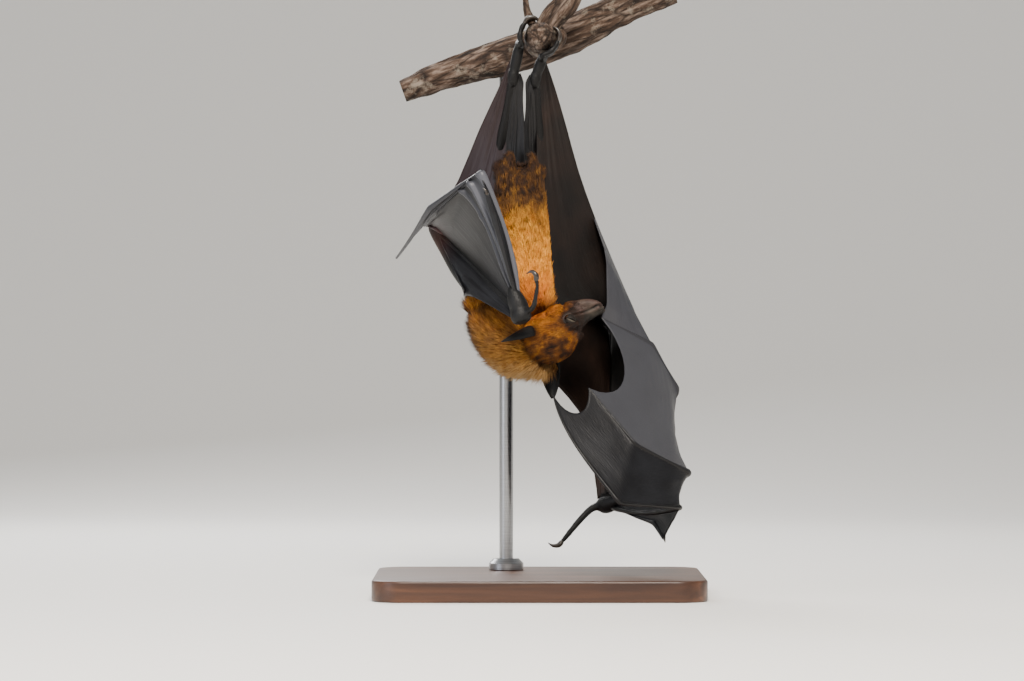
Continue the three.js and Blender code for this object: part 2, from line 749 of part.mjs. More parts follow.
// The big membrane between the leg, the body, the arm and finger 5.
function sideMembrane(side, grow = 0) {
  const { edge, body, flap } = flank[side];
  const { arm, finger5 } = joints[side];
  const [wrist, knuckle, middle, tip] = finger5;
  const place = (list) => list.map((p) => new THREE.Vector3(...p));
  // On the folded wing the skin reaches the tip of finger 5 beside the elbow, and on the open wing it turns
  // back on itself beyond the middle joint.
  const alongFinger = flap ? [middle, knuckle] : [tip, middle, knuckle];
  const alongArm = flap ? [1, 1.35] : [1, 1.2, 1.4];
  const outer = [...place(edge), ...alongFinger, ...[0.5, 0.06].map((t) => wrist.clone().lerp(knuckle, t))];
  const fixed = [...place(body), ...[...alongArm, 1.7, 1.94].map((t) => onChain(arm, t))];
  const last = fixed.length - 1;
  const main = sheet(between(fixed, outer, [0, 0], [last, last]), last + 4, 3, { grow });
  if (!flap) return main;
  const free = [...place(flap), tip];
  const fold = [...place(edge).slice(4), middle];
  const turned = sheet(between(fold, free, [0.05, 0.2], [fold.length - 1, free.length - 1]), 8, 3, { grow });
  return union([main, turned]);
}

// ---- putting it together ----
add("stand_base", carve(standBase(), standRod(gap)), colour.wood);
add("stand_rod", standRod(), colour.steel, 0.35, 1);
add("stand_collar", standCollar(), colour.steel, 0.35, 1);
add("perch", carve(perch(), standRod(gap)), colour.bark, 0.9);

const eyeSockets = [eye(1, gap), eye(-1, gap)];
const body = union([trunk(), neck(), head()]);
const headPiece = sideOf(body, headCut, 1);
const rest = sideOf(body, headCut, -1);
add("head", carve(headPiece, ...eyeSockets), colour.face);
add("neck", sideOf(rest, neckCut, -1), colour.mantle, 0.95);
add("trunk", sideOf(rest, neckCut, 1), colour.belly, 0.95);

const bodyRoom = wholeBody(gap);
const perchRoom = perch(gap);
for (const side of ["left", "right"]) {
  add(`eye_${side}`, eye(earPose[side].side), colour.eye, 0.15);
  add(`ear_${side}`, carve(ear(side), bodyRoom), colour.face);

  const claws = toePlaces(side).map((y) => toeClaw(side, y, gap));
  add(`foot_${side}`, carve(foot(side), perchRoom, ...claws), colour.skin);
  toePlaces(side).forEach((y, i) => {
    add(`foot_claw_${side}_${i + 1}`, carve(toeClaw(side, y), perchRoom), colour.claw, 0.4);
  });
  add(`shank_${side}`, carve(shank(side), foot(side, gap)), colour.skin);
  add(`thigh_${side}`, carve(thigh(side), shank(side, gap), bodyRoom), colour.belly, 0.95);
  const leg = [foot(side, gap), shank(side, gap), thigh(side, gap)];
  add(`leg_membrane_${side}`, carve(legMembrane(side), ...leg, bodyRoom), colour.skin);

  add(`wing_${side}_palm`, palm(side), colour.skin);
  const hand = [palm(side, gap)];
  add(`wing_${side}_index_claw`, carve(indexClaw(side), ...hand), colour.claw, 0.4);
  add(`wing_${side}_thumb`, carve(thumb(side), ...hand, thumbClaw(side, gap)), colour.skin);
  add(`wing_${side}_thumb_claw`, thumbClaw(side), colour.claw, 0.4);
  hand.push(thumb(side, gap), indexClaw(side, gap));
  add(`wing_${side}_forearm`, carve(forearmOf(side), ...hand, bodyRoom), colour.skin);
  add(`wing_${side}_upper_arm`, carve(upperArm(side), forearmOf(side, gap), bodyRoom), colour.skin);
  hand.push(forearmOf(side, gap), upperArm(side, gap));
  add(`wing_${side}_fingers`, carve(fingers(side), knuckles(side), ...hand, bodyRoom), colour.skin);
  hand.push(fingers(side, gap));
  add(`wing_${side}_front_membrane`, carve(frontMembrane(side), ...hand, bodyRoom), colour.skin);
  hand.push(frontMembrane(side, gap), besideFinger5(side), ...leg, legMembrane(side, gap));
  add(`wing_${side}_side_membrane`, carve(sideMembrane(side), ...hand, bodyRoom), colour.skin);
}

export default bat;
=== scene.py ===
import math

import bmesh
import bpy
import numpy as np
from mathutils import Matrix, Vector, noise
from mathutils.bvhtree import BVHTree


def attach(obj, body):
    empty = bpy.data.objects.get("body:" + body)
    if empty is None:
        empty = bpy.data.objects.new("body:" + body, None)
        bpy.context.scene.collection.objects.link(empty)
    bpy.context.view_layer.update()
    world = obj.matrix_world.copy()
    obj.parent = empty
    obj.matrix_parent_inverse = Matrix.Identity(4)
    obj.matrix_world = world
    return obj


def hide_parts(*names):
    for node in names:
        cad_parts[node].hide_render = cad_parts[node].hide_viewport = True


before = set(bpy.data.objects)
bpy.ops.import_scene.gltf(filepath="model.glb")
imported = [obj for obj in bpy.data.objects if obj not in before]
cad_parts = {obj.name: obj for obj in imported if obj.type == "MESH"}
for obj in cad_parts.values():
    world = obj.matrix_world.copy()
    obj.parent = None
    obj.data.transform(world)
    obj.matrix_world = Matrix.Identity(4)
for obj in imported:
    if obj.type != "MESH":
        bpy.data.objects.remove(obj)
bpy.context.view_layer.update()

# A life-size flying fox hangs from a cut branch on a display stand. Lengths below are in millimetres,
# and are turned to metres where a mesh is made.
mm = 0.001
upright = np.array([0.0, 0.0, 1.0])


def linearColour(code):
    # a hex sRGB colour as linear values
    channels = [int(code[i : i + 2], 16) / 255 for i in (1, 3, 5)]
    return [c / 12.92 if c <= 0.04045 else ((c + 0.055) / 1.055) ** 2.4 for c in channels] + [1.0]


def unit(v):
    v = np.asarray(v, float)
    return v / np.maximum(np.linalg.norm(v, axis=-1, keepdims=True), 1e-9)


def away(points, spot):
    # how far each point is from a spot
    return np.linalg.norm(points - spot, axis=1)


def heading(turn, rise):
    # the direction at these degrees round from X and up from level
    a, b = math.radians(turn), math.radians(rise)
    return np.array([math.cos(b) * math.cos(a), math.cos(b) * math.sin(a), math.sin(b)])


def bell(x, width):
    # 1 at nought, falling away smoothly on both sides
    return np.exp(-((np.asarray(x, float) / width) ** 2))


def ramp(x, low, high):
    # 0 at low and 1 at high, with a smooth rise between; low may be the larger
    s = np.clip((np.asarray(x, float) - low) / (high - low), 0, 1)
    return s * s * (3 - 2 * s)


def spline(points):
    # a smooth curve through the points, with t from 0 to 1
    pts = np.asarray(points, float)
    padded = np.vstack([2 * pts[0] - pts[1], pts, 2 * pts[-1] - pts[-2]])
    spans = len(pts) - 1

    def at(t):
        s = np.clip(np.asarray(t, float), 0, 1) * spans
        i = np.minimum(s.astype(int), spans - 1)
        f = (s - i)[..., None]
        a, b, c, d = (padded[i + k] for k in range(4))
        square, cube = 2 * a - 5 * b + 4 * c - d, 3 * b - a - 3 * c + d
        return 0.5 * (2 * b + (c - a) * f + square * f**2 + cube * f**3)

    return at


def onChain(joints, t, soft=0.05):
    # the point at t along a chain of bones, a little rounded at the joints
    joints = np.asarray(joints, float)
    t = np.asarray(t, float)

    def straight(s):
        s = np.clip(s, 0, len(joints) - 1)
        i = np.minimum(s.astype(int), len(joints) - 2)
        return joints[i] + (joints[i + 1] - joints[i]) * (s - i)[..., None]

    low, high = np.minimum(t, soft), np.minimum(len(joints) - 1 - t, soft)
    reach = np.maximum(np.minimum(low, high), 0)
    return (straight(t - reach) + 2 * straight(t) + straight(t + reach)) / 4


def speckle(points, size, seed=0.0):
    # smooth noise from -1 to 1 at each point
    shift = Vector((seed * 3.1, seed * 1.7, seed * 2.3))
    return np.array([noise.noise(Vector(p) / size + shift) for p in points])


# What each point of a mesh may carry: a place along the surface's own grain, how reddened or dark it is, how
# much orange, dark and pale colour it has, which way the coat lies, how long and dense it is, and its place
# on an unwrap.
skinValues = {"grain": 3, "warm": 1, "mark": 3, "lie": 3, "coatLength": 1, "coatDensity": 1, "rootUv": 3}

# The slots of the bat's skin, in the order of its materials.
furSlot, backSlot, innerSlot, hideSlot, muzzleSlot = range(5)


def meshFrom(name, parts, materials=()):
    # parts are dictionaries of points in millimetres, faces, and values per point or face
    points, faces, slots, values = [], [], [], {}
    for part in parts:
        start = sum(len(p) for p in points)
        points.append(part["points"])
        faces += [tuple(start + i for i in face) for face in part["faces"]]
        slots += list(part.get("slots", [part.get("slot", 0)] * len(part["faces"])))
        for key in skinValues:
            found = part.get(key, part["points"] if key == "grain" else np.zeros(skinValues[key]))
            filled = np.broadcast_to(np.asarray(found, float), (len(part["points"]), skinValues[key]))
            values.setdefault(key, []).append(filled)
    mesh = bpy.data.meshes.new(name)
    mesh.from_pydata(np.vstack(points) * mm, [], faces)
    mesh.polygons.foreach_set("material_index", slots)
    mesh.polygons.foreach_set("use_smooth", [True] * len(faces))
    for key, found in values.items():
        layer = mesh.attributes.new(key, "FLOAT_VECTOR" if skinValues[key] == 3 else "FLOAT", "POINT")
        layer.data.foreach_set("vector" if skinValues[key] == 3 else "value", np.vstack(found).ravel())
    mesh.validate()
    thing = bpy.data.objects.new(name, mesh)
    bpy.context.scene.collection.objects.link(thing)
    for material in materials:
        mesh.materials.append(material)
    return thing


def gridFaces(rows, columns, isRound=False):
    # the four-sided faces of a grid of points, which may close round on itself
    wide = columns if isRound else columns - 1
    return [
        (
            r * columns + c,
            r * columns + (c + 1) % columns,
            (r + 1) * columns + (c + 1) % columns,
            (r + 1) * columns + c,
        )
        for r in range(rows - 1)
        for c in range(wide)
    ]


def capped(rings):
    # a closed skin over rings of points, with its two ends closed to a point
    count, sides = len(rings), len(rings[0])
    points = np.vstack([*rings, rings[0].mean(0)[None], rings[-1].mean(0)[None]])
    first, last = count * sides, count * sides + 1
    faces = gridFaces(count, sides, True)
    faces += [(first, (c + 1) % sides, c) for c in range(sides)]
    top = (count - 1) * sides
    faces += [(last, top + c, top + (c + 1) % sides) for c in range(sides)]
    return {"points": points, "faces": faces}


def limb(points, radii, sides=16, rings=24):
    # a tapered limb with rounded ends along a smooth curve
    y = -np.cos(np.linspace(0.04, math.pi - 0.04, rings))
    t = (1 + y) / 2
    centre = spline(points)(t)
    radius = spline([[r] for r in radii])(t)[:, 0] * (1 - y**2) ** 0.2
    tangent = unit(np.gradient(centre, axis=0))
    run = unit(centre[-1] - centre[0])
    reference = upright if abs(run[2]) < 0.8 else np.array([1.0, 0, 0])
    across = unit(np.cross(reference, tangent))
    other = np.cross(tangent, across)
    angle = np.linspace(0, 2 * math.pi, sides, endpoint=False)
    ring = across[:, None] * np.cos(angle)[None, :, None] + other[:, None] * np.sin(angle)[None, :, None]
    return capped(centre[:, None] + ring * radius[:, None, None])


def form(sections, wide, deep, inset=0.0, sides=48, rings=40):
    # a rounded form through oval sections, each (centre, half width, half depth), drawn in by the inset
    y = -np.cos(np.linspace(0.05, math.pi - 0.05, rings))
    t = (1 + y) / 2
    centre = spline([s[0] for s in sections])(t)
    size = spline([[s[1], s[2]] for s in sections])(t)
    end = np.maximum(1 - y**2, 0) ** 0.2
    tangent = unit(np.gradient(centre, axis=0))
    centre = centre - tangent * (y * np.abs(y) ** 6 * inset)[:, None]
    angle = np.linspace(0, 2 * math.pi, sides, endpoint=False)
    half = np.maximum(size * end[:, None] - inset, 0.4)
    ring = (
        np.cos(angle)[None, :, None] * half[:, None, :1] * wide
        + np.sin(angle)[None, :, None] * half[:, None, 1:] * deep
    )
    return capped(centre[:, None] + ring)


def remeshed(parts, voxel, smooth):
    # the parts as one closed skin on a grid of this many millimetres
    thing = meshFrom("rough", parts)
    size = thing.modifiers.new("one skin", "REMESH")
    size.mode, size.voxel_size = "VOXEL", voxel * mm
    soft = thing.modifiers.new("soft", "SMOOTH")
    soft.factor, soft.iterations = 0.5, smooth
    evaluated = thing.evaluated_get(bpy.context.evaluated_depsgraph_get())
    mesh = bpy.data.meshes.new_from_object(evaluated)
    count = len(mesh.vertices)
    points = np.zeros(count * 3)
    mesh.vertices.foreach_get("co", points)
    faces = [tuple(p.vertices) for p in mesh.polygons]
    bpy.data.objects.remove(thing)
    bpy.data.meshes.remove(mesh)
    return {"points": points.reshape(-1, 3) / mm, "faces": faces}


def facing(part):
    # the normal at each point
    points, normals = part["points"], np.zeros_like(part["points"])
    for face in part["faces"]:
        a, b, c = points[list(face[:3])]
        normals[list(face)] += np.cross(b - a, c - a)
    return unit(normals)


def sheet(surface, across, down, thickness, slots, bulge=None):
    # a thin closed skin over surface(u, v), whose two sides may have their own slots
    u = np.linspace(0, 1, across)[None, :].repeat(down, 0)
    v = np.linspace(0, 1, down)[:, None].repeat(across, 1)
    middle = surface(u, v)
    normal = unit(np.cross(np.gradient(middle, axis=1), np.gradient(middle, axis=0)))
    if bulge is not None:
        middle = middle + normal * bulge(u, v)[..., None]
    half = thickness / 2 if not callable(thickness) else thickness(u, v)[..., None] / 2
    return twoSided(middle + normal * half, middle - normal * half, slots)


def twoSided(top, under, slots):
    # a closed skin from two grids of points, its rim included
    down, across = top.shape[:2]
    count = down * across
    faces = gridFaces(down, across)
    underFaces = [tuple(count + i for i in reversed(face)) for face in faces]
    edge = [(0, c) for c in range(across)] + [(r, across - 1) for r in range(1, down)]
    edge += [(down - 1, c) for c in range(across - 2, -1, -1)] + [(r, 0) for r in range(down - 2, 0, -1)]
    ids = [r * across + c for r, c in edge]
    rim = [(here, count + here, count + after, after) for here, after in zip(ids, ids[1:] + ids[:1])]
    width = np.linalg.norm(top[:, -1] - top[:, 0], axis=-1).mean()
    length = np.linalg.norm(top[-1] - top[0], axis=-1).mean()
    u = np.linspace(0, width, across)[None, :].repeat(down, 0)
    v = np.linspace(0, length, down)[:, None].repeat(across, 1)
    grain = np.stack([u, v, np.zeros_like(u)], -1).reshape(-1, 3)
    return {
        "points": np.vstack([top.reshape(-1, 3), under.reshape(-1, 3)]),
        "faces": faces + underFaces + rim,
        "slots": [slots[0]] * len(faces) + [slots[1]] * len(faces) + [slots[0]] * len(rim),
        "grain": np.vstack([grain, grain]),
        "share": (u / max(width, 1e-6), v / max(length, 1e-6)),
    }


def place(thing, slotName, *nodes):
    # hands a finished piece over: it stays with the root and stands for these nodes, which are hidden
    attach(thing, "root")
    if nodes:
        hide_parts(*nodes)


# The forearm sets the size of the bat: the other bones are shares of it, from the joint outwards.
forearm = 164.0
boneShare = {
    "upperArm": 0.64,
    "forearm": 1.0,
    "thumb": [0.09, 0.23],
    "index": [0.485, 0.15],
    "finger3": [0.75, 0.45, 0.66],
    "finger4": [0.72, 0.39, 0.38],
    "finger5": [0.72, 0.29, 0.31],
    "shank": 0.49,
    "thigh": 0.3,
}
# Each bone points (degrees round from X, degrees up). Places are in millimetres, with the floor at 0.
pose = {
    "left": {
        "shoulder": (-54, -16, 253),
        "arm": [(113, 38), (-58, -28)],
        "thumb": [(-40, 20), (-90, 50)],
        "thumbTip": (12.8, -28, 27.5),  # from the wrist
        "thumbClaw": [(-95, 70), (165, 40), (175, -25)],
        "index": [(-151, 72), (-173, 73)],
        "finger3": [(-171, 74), (130, -24), (108, -22)],
        "finger4": [(173, 69), (122, -22), (110, -20)],
        "finger5": [(159, 63), (118, -23), (105, -14)],
        "bow": (0, 0),
        "tipBow": (135, -60),
        "ankle": (-16, 2, 442),
        "leg": [(110, -64), (-68, -37)],
    },
    "right": {
        "shoulder": (16, 22, 247),
        "arm": [(58, -8), (-101, -74)],
        "thumb": [(-165, -20), (-157, -46)],
        "thumbClaw": [(-165, -45), (180, -5), (170, 30)],
        "index": [(-58, -9), (-71, -29)],
        "finger3": [(-59, 1), (-137, 4), (153, 56)],
        "finger4": [(-51, 15), (-145, 23), (162, 49)],
        "finger5": [(-1, 57), (-157, 58), (-164, 26)],
        "bow": (0, -90),
        "tipBow": (170, -35),
        "ankle": (3, 6, 441),
        "leg": [(84, -66), (-107, -35)],
    },
}


def chainOf(start, shares, headings):
    # the joints of a chain of bones
    joints = [np.array(start, float)]
    for share, turn in zip(shares, headings):
        joints.append(joints[-1] + heading(*turn) * share * forearm)
    return np.array(joints)


def wingOf(side):
    p = pose[side]
    arm = chainOf(p["shoulder"], [boneShare["upperArm"], boneShare["forearm"]], p["arm"])
    wing = {
        n: chainOf(arm[2], boneShare[n], p[n]) for n in ("thumb", "index", "finger3", "finger4", "finger5")
    }
    if "thumbTip" in p:
        wing["thumb"][2] = arm[2] + np.array(p["thumbTip"])
    wing["arm"] = arm
    wing["leg"] = chainOf(p["ankle"], [boneShare["shank"], boneShare["thigh"]], p["leg"])
    return wing


joints = {side: wingOf(side) for side in pose}

# The trunk's own left and front, and the head's own forward, left and crown, in the bat's hanging pose.
bodyLeft, bodyFront = heading(-155, 0), heading(-65, 0)
head = {"centre": np.array([5.0, -10.0, 218.0]), "turn": -5, "rise": 15, "roll": 30}
headForward = heading(head["turn"], head["rise"])
levelCrown = heading(head["turn"], head["rise"] - 90)
rollAngle = math.radians(head["roll"])
headCrown = levelCrown * math.cos(rollAngle) + np.cross(levelCrown, headForward) * math.sin(rollAngle)
headLeft = np.cross(headCrown, headForward)


def onHead(forward, left, crown):
    # the place this far forward, left and crownward of the middle of the head
    return head["centre"] + headForward * forward + headLeft * left + headCrown * crown


def headPlace(points):
    # how far forward, left and crownward each point is on the head
    off = np.asarray(points) - head["centre"]
    return off @ headForward, off @ headLeft, off @ headCrown


def addNode(tree, kind, settings=None, links=None):
    # adds a node: a link is a socket, a value or a hex colour, and a colour ramp takes its stops as a setting
    made = tree.nodes.new(kind)
    for key, value in (settings or {}).items():
        if key != "stops":
            setattr(made, key, value)
            continue
        band = made.color_ramp
        while len(band.elements) < len(value):
            band.elements.new(0.5)
        for element, (spot, code) in zip(band.elements, value):
            element.position, element.color = spot, linearColour(code)
    for key, value in (links or {}).items():
        if isinstance(value, bpy.types.NodeSocket):
            tree.links.new(value, made.inputs[key])
        else:
            isColour = isinstance(value, str) and value.startswith("#")
            made.inputs[key].default_value = linearColour(value) if isColour else value
    return made


def newMaterial(name, shaderSettings):
    # a material with one shader, and the attributes that its pattern reads
    material = bpy.data.materials.new(name)
    material.use_nodes = True
    tree = material.node_tree
    tree.nodes.clear()
    shader = addNode(tree, "ShaderNodeBsdfPrincipled", links=shaderSettings)
    addNode(tree, "ShaderNodeOutputMaterial", links={"Surface": shader.outputs["BSDF"]})
    given = {"spot": addNode(tree, "ShaderNodeTexCoord").outputs["Object"]}
    for key in ("grain", "mark", "warm", "lock", "along"):
        read = addNode(tree, "ShaderNodeAttribute", {"attribute_name": key})
        given[key] = read.outputs["Vector" if key in ("grain", "mark") else "Fac"]
    marks = addNode(tree, "ShaderNodeSeparateXYZ", links={0: given["mark"]})
    given["orange"], given["dark"], given["pale"] = marks.outputs[0], marks.outputs[1], marks.outputs[2]
    return material, tree, shader, given


def finished(tree, shader, colour, height, depth):
    # links a material's colour, and its relief of this depth in metres
    tree.links.new(colour, shader.inputs["Base Color"])
    relief = addNode(tree, "ShaderNodeBump", links={"Strength": 1.0, "Distance": depth, "Height": height})
    tree.links.new(relief.outputs["Normal"], shader.inputs["Normal"])


mixColour = {"data_type": "RGBA"}
darken = {"data_type": "RGBA", "blend_type": "MULTIPLY"}

# Wing membrane: thin hairless hide, nearly black, with a dull sheen, fine pleats about 1 mm apart that run
# along the bones, and faint veins about 6 mm apart.
wingLook = {
    "outer": {"dark": "#111114", "pale": "#1e1f23", "rough": 0.4},
    "inner": {"dark": "#120c0a", "pale": "#271a14", "rough": 0.55},
    "pleats": 0.9,
    "pleatDepth": 0.00022,
    "veins": 0.16,
    "reddened": "#57302a",
    "shaded": "#060403",
    "paintedSheen": "#5c5d64",
}


def wingMembrane(name, look):
    material, tree, shader, given = newMaterial(
        name, {"Roughness": look["rough"], "Specular IOR Level": 0.27}
    )
    laid = addNode(tree, "ShaderNodeMapping", links={0: given["grain"], "Scale": (0.9, 0.09, 0.9)})
    links = {0: laid.outputs[0], "Scale": wingLook["pleats"], "Detail": 4.0}
    pleats = addNode(tree, "ShaderNodeTexNoise", links=links)
    settings = {"feature": "DISTANCE_TO_EDGE"}
    veins = addNode(tree, "ShaderNodeTexVoronoi", settings, {0: given["grain"], "Scale": wingLook["veins"]})
    vein = addNode(tree, "ShaderNodeMapRange", links={0: veins.outputs[0], 1: 0.0, 2: 0.09, 3: 1.0, 4: 0.0})
    cloud = addNode(tree, "ShaderNodeTexNoise", links={0: given["spot"], "Scale": 38.0, "Detail": 5.0})
    stops = [(0.32, look["dark"]), (0.7, look["pale"])]
    base = addNode(tree, "ShaderNodeValToRGB", {"stops": stops}, {0: cloud.outputs[0]})
    stops = [(0.35, "#c4c2c2"), (0.65, "#ffffff")]
    streak = addNode(tree, "ShaderNodeValToRGB", {"stops": stops}, {0: pleats.outputs[0]})
    tone = addNode(tree, "ShaderNodeMix", darken, {0: 0.55, 6: base.outputs[0], 7: streak.outputs[0]})
    # warm mixes in the hide's own reddening, pale a painted sheen, and dark a near-black that is painted
    # shade on the webs, beside the bones and in the hollows of the wing
    for key, stain in (("warm", "reddened"), ("pale", "paintedSheen"), ("dark", "shaded")):
        tone = addNode(
            tree, "ShaderNodeMix", mixColour, {0: given[key], 6: tone.outputs[2], 7: wingLook[stain]}
        )
    links = {0: vein.outputs[0], 1: 0.08, 2: pleats.outputs[0]}
    height = addNode(tree, "ShaderNodeMath", {"operation": "MULTIPLY_ADD"}, links)
    finished(tree, shader, tone.outputs[2], height.outputs[0], wingLook["pleatDepth"])
    return material


wingBack = wingMembrane("hairless wing hide, outer side", wingLook["outer"])
wingUnder = wingMembrane("hairless wing hide, inner side", wingLook["inner"])

# Leg, arm and ear skin: thicker hide with fine pebbles about 1.1 mm across, a little rougher than the wing.
hideLook = {"Roughness": 0.5, "Specular IOR Level": 0.22}
limbHide, tree, shader, given = newMaterial("pebbled hide of arms, legs and ears", hideLook)
pebble = addNode(tree, "ShaderNodeTexVoronoi", links={0: given["spot"], "Scale": 900.0})
cloud = addNode(tree, "ShaderNodeTexNoise", links={0: given["spot"], "Scale": 60.0, "Detail": 4.0})
stops = [(0.3, "#0e0e0e"), (0.72, "#1d1d1e")]
tone = addNode(tree, "ShaderNodeValToRGB", {"stops": stops}, {0: cloud.outputs[0]}).outputs[0]
for key, code in (("warm", "#5a3a30"), ("pale", "#6a6460"), ("dark", "#0a0909")):
    tone = addNode(tree, "ShaderNodeMix", mixColour, {0: given[key], 6: tone, 7: code}).outputs[2]
finished(tree, shader, tone, pebble.outputs[0], 0.0002)

# Muzzle: soft bare skin, purplish brown, with fine pores about 0.7 mm apart.
muzzleLook = {"Roughness": 0.55, "Specular IOR Level": 0.2}
muzzleSkin, tree, shader, given = newMaterial("soft bare muzzle skin", muzzleLook)
pore = addNode(tree, "ShaderNodeTexVoronoi", links={0: given["spot"], "Scale": 1400.0})
cloud = addNode(tree, "ShaderNodeTexNoise", links={0: given["spot"], "Scale": 90.0, "Detail": 5.0})
stops = [(0.3, "#2b1f1b"), (0.7, "#54403a")]
tone = addNode(tree, "ShaderNodeValToRGB", {"stops": stops}, {0: cloud.outputs[0]}).outputs[0]
for key, code in (("warm", "#111310"), ("pale", "#857a68")):
    tone = addNode(tree, "ShaderNodeMix", mixColour, {0: given[key], 6: tone, 7: code}).outputs[2]
finished(tree, shader, tone, pore.outputs[0], 0.00015)

# Claws: horn in layers about 2 mm deep, worn smooth, almost black, with a soft shine.
horn, tree, shader, given = newMaterial("worn claw horn", {"Roughness": 0.3, "IOR": 1.54})
layers = addNode(tree, "ShaderNodeTexNoise", links={0: given["spot"], "Scale": 500.0, "Detail": 3.0})
stops = [(0.3, "#14110f"), (0.75, "#33291f")]
tone = addNode(tree, "ShaderNodeValToRGB", {"stops": stops}, {0: layers.outputs[0]})
finished(tree, shader, tone.outputs[0], layers.outputs[0], 0.0001)

# Eye: a wet brown iris round a black pupil, under a clear cornea that gives one sharp highlight.
wetLook = {"Roughness": 0.06, "IOR": 1.38, "Coat Weight": 1.0, "Coat Roughness": 0.03}
wetEye, tree, shader, given = newMaterial("wet brown eye", wetLook)
stops = [(0.0, "#050302"), (0.42, "#050302"), (0.5, "#4a2410"), (0.85, "#2a130a"), (1.0, "#0d0705")]
tone = addNode(tree, "ShaderNodeValToRGB", {"stops": stops}, {0: given["warm"]})
tree.links.new(tone.outputs[0], shader.inputs["Base Color"])

# Bark: weathered dead bark, grey brown, with furrows about 5 mm apart along the branch, cracks about 9 mm
# apart and paler lichen in patches of about 22 mm.
barkLook = {"furrow": 0.2, "furrowDepth": 0.0014, "crack": 0.11, "lichen": 45.0, "lichenShare": 0.75}
bark, tree, shader, given = newMaterial(
    "weathered furrowed bark", {"Roughness": 0.9, "Specular IOR Level": 0.25}
)
links = {0: given["grain"], "Scale": barkLook["furrow"], "Detail": 9.0, "Roughness": 0.65}
furrow = addNode(tree, "ShaderNodeTexNoise", links=links)
links = {0: given["grain"], "Scale": barkLook["crack"]}
crack = addNode(tree, "ShaderNodeTexVoronoi", {"feature": "DISTANCE_TO_EDGE"}, links)
links = {0: given["spot"], "Scale": barkLook["lichen"], "Detail": 8.0, "Roughness": 0.7}
lichen = addNode(tree, "ShaderNodeTexNoise", links=links)
stops = [(0.34, "#1d1511"), (0.5, "#43342a"), (0.64, "#75655a")]
tone = addNode(tree, "ShaderNodeValToRGB", {"stops": stops}, {0: furrow.outputs[0]})
stops = [(0.0, "#3c3532"), (0.1, "#ffffff")]
gap = addNode(tree, "ShaderNodeValToRGB", {"stops": stops}, {0: crack.outputs[0]})
tone = addNode(tree, "ShaderNodeMix", darken, {0: 0.8, 6: tone.outputs[0], 7: gap.outputs[0]})
links = {0: lichen.outputs[0], 1: 0.54, 2: 0.66, 3: 0.0, 4: barkLook["lichenShare"]}
patch = addNode(tree, "ShaderNodeMapRange", links=links)
tone = addNode(tree, "ShaderNodeMix", mixColour, {0: patch.outputs[0], 6: tone.outputs[2], 7: "#857b6e"})
links = {0: crack.outputs[0], 1: 0.8, 2: furrow.outputs[0]}
rough = addNode(tree, "ShaderNodeMath", {"operation": "MULTIPLY_ADD"}, links)
finished(tree, shader, tone.outputs[2], rough.outputs[0], barkLook["furrowDepth"])

# Sawn end of the branch: pale dry wood with growth rings about 2 mm apart.
sawnWood, tree, shader, given = newMaterial("sawn end grain", {"Roughness": 0.8})
settings = {"wave_type": "RINGS", "rings_direction": "Z"}
rings = addNode(tree, "ShaderNodeTexWave", settings, {0: given["grain"], "Scale": 0.16, "Distortion": 1.2})
stops = [(0.0, "#7a5a3c"), (1.0, "#b08c62")]
tone = addNode(tree, "ShaderNodeValToRGB", {"stops": stops}, {0: rings.outputs[1]})
finished(tree, shader, tone.outputs[0], rings.outputs[1], 0.0001)

# Stand base: dark oiled walnut, planed smooth. Its figure runs along the longer side in bands of about 11 mm,
# and its pores are about 1.1 mm apart.
walnut, tree, shader, given = newMaterial("oiled walnut board", {"Roughness": 0.38, "IOR": 1.5})
laid = addNode(tree, "ShaderNodeMapping", links={0: given["spot"], "Scale": (6.0, 90.0, 90.0)})
figure = addNode(
    tree, "ShaderNodeTexNoise", links={0: laid.outputs[0], "Scale": 1.0, "Detail": 7.0, "Distortion": 0.4}
)
fine = addNode(tree, "ShaderNodeMapping", links={0: given["spot"], "Scale": (30.0, 900.0, 900.0)})
pores = addNode(tree, "ShaderNodeTexNoise", links={0: fine.outputs[0], "Scale": 1.0, "Detail": 3.0})
stops = [(0.28, "#2a1810"), (0.55, "#4b2e1d"), (0.75, "#6b4630")]
tone = addNode(tree, "ShaderNodeValToRGB", {"stops": stops}, {0: figure.outputs[0]})
finished(tree, shader, tone.outputs[0], pores.outputs[0], 0.00012)

# Stand rod and collar: drawn stainless steel, brushed round in lines about 0.3 mm apart.
steel, tree, shader, given = newMaterial("brushed stainless steel", {"Metallic": 1.0, "Roughness": 0.28})
laid = addNode(tree, "ShaderNodeMapping", links={0: given["spot"], "Scale": (40.0, 40.0, 3000.0)})
brush = addNode(tree, "ShaderNodeTexNoise", links={0: laid.outputs[0], "Scale": 1.0, "Detail": 2.0})
stops = [(0.3, "#8f9092"), (0.7, "#b4b5b7")]
tone = addNode(tree, "ShaderNodeValToRGB", {"stops": stops}, {0: brush.outputs[0]})
finished(tree, shader, tone.outputs[0], brush.outputs[0], 0.00003)

# Coat: dense soft fur, flecked every 6 mm or so. Marks on the skin say where it is orange, dark or cream;
# some of the dark is painted shade, in the eye sockets, round the near ear and between the thighs.
coatColours = {
    "gold": ("#c4760f", "#ffb63a"),
    "orange": ("#8e3f08", "#d66c17"),
    "dark": ("#160c06", "#3a2110"),
    "cream": ("#8a6a3a", "#dcc08e"),
}


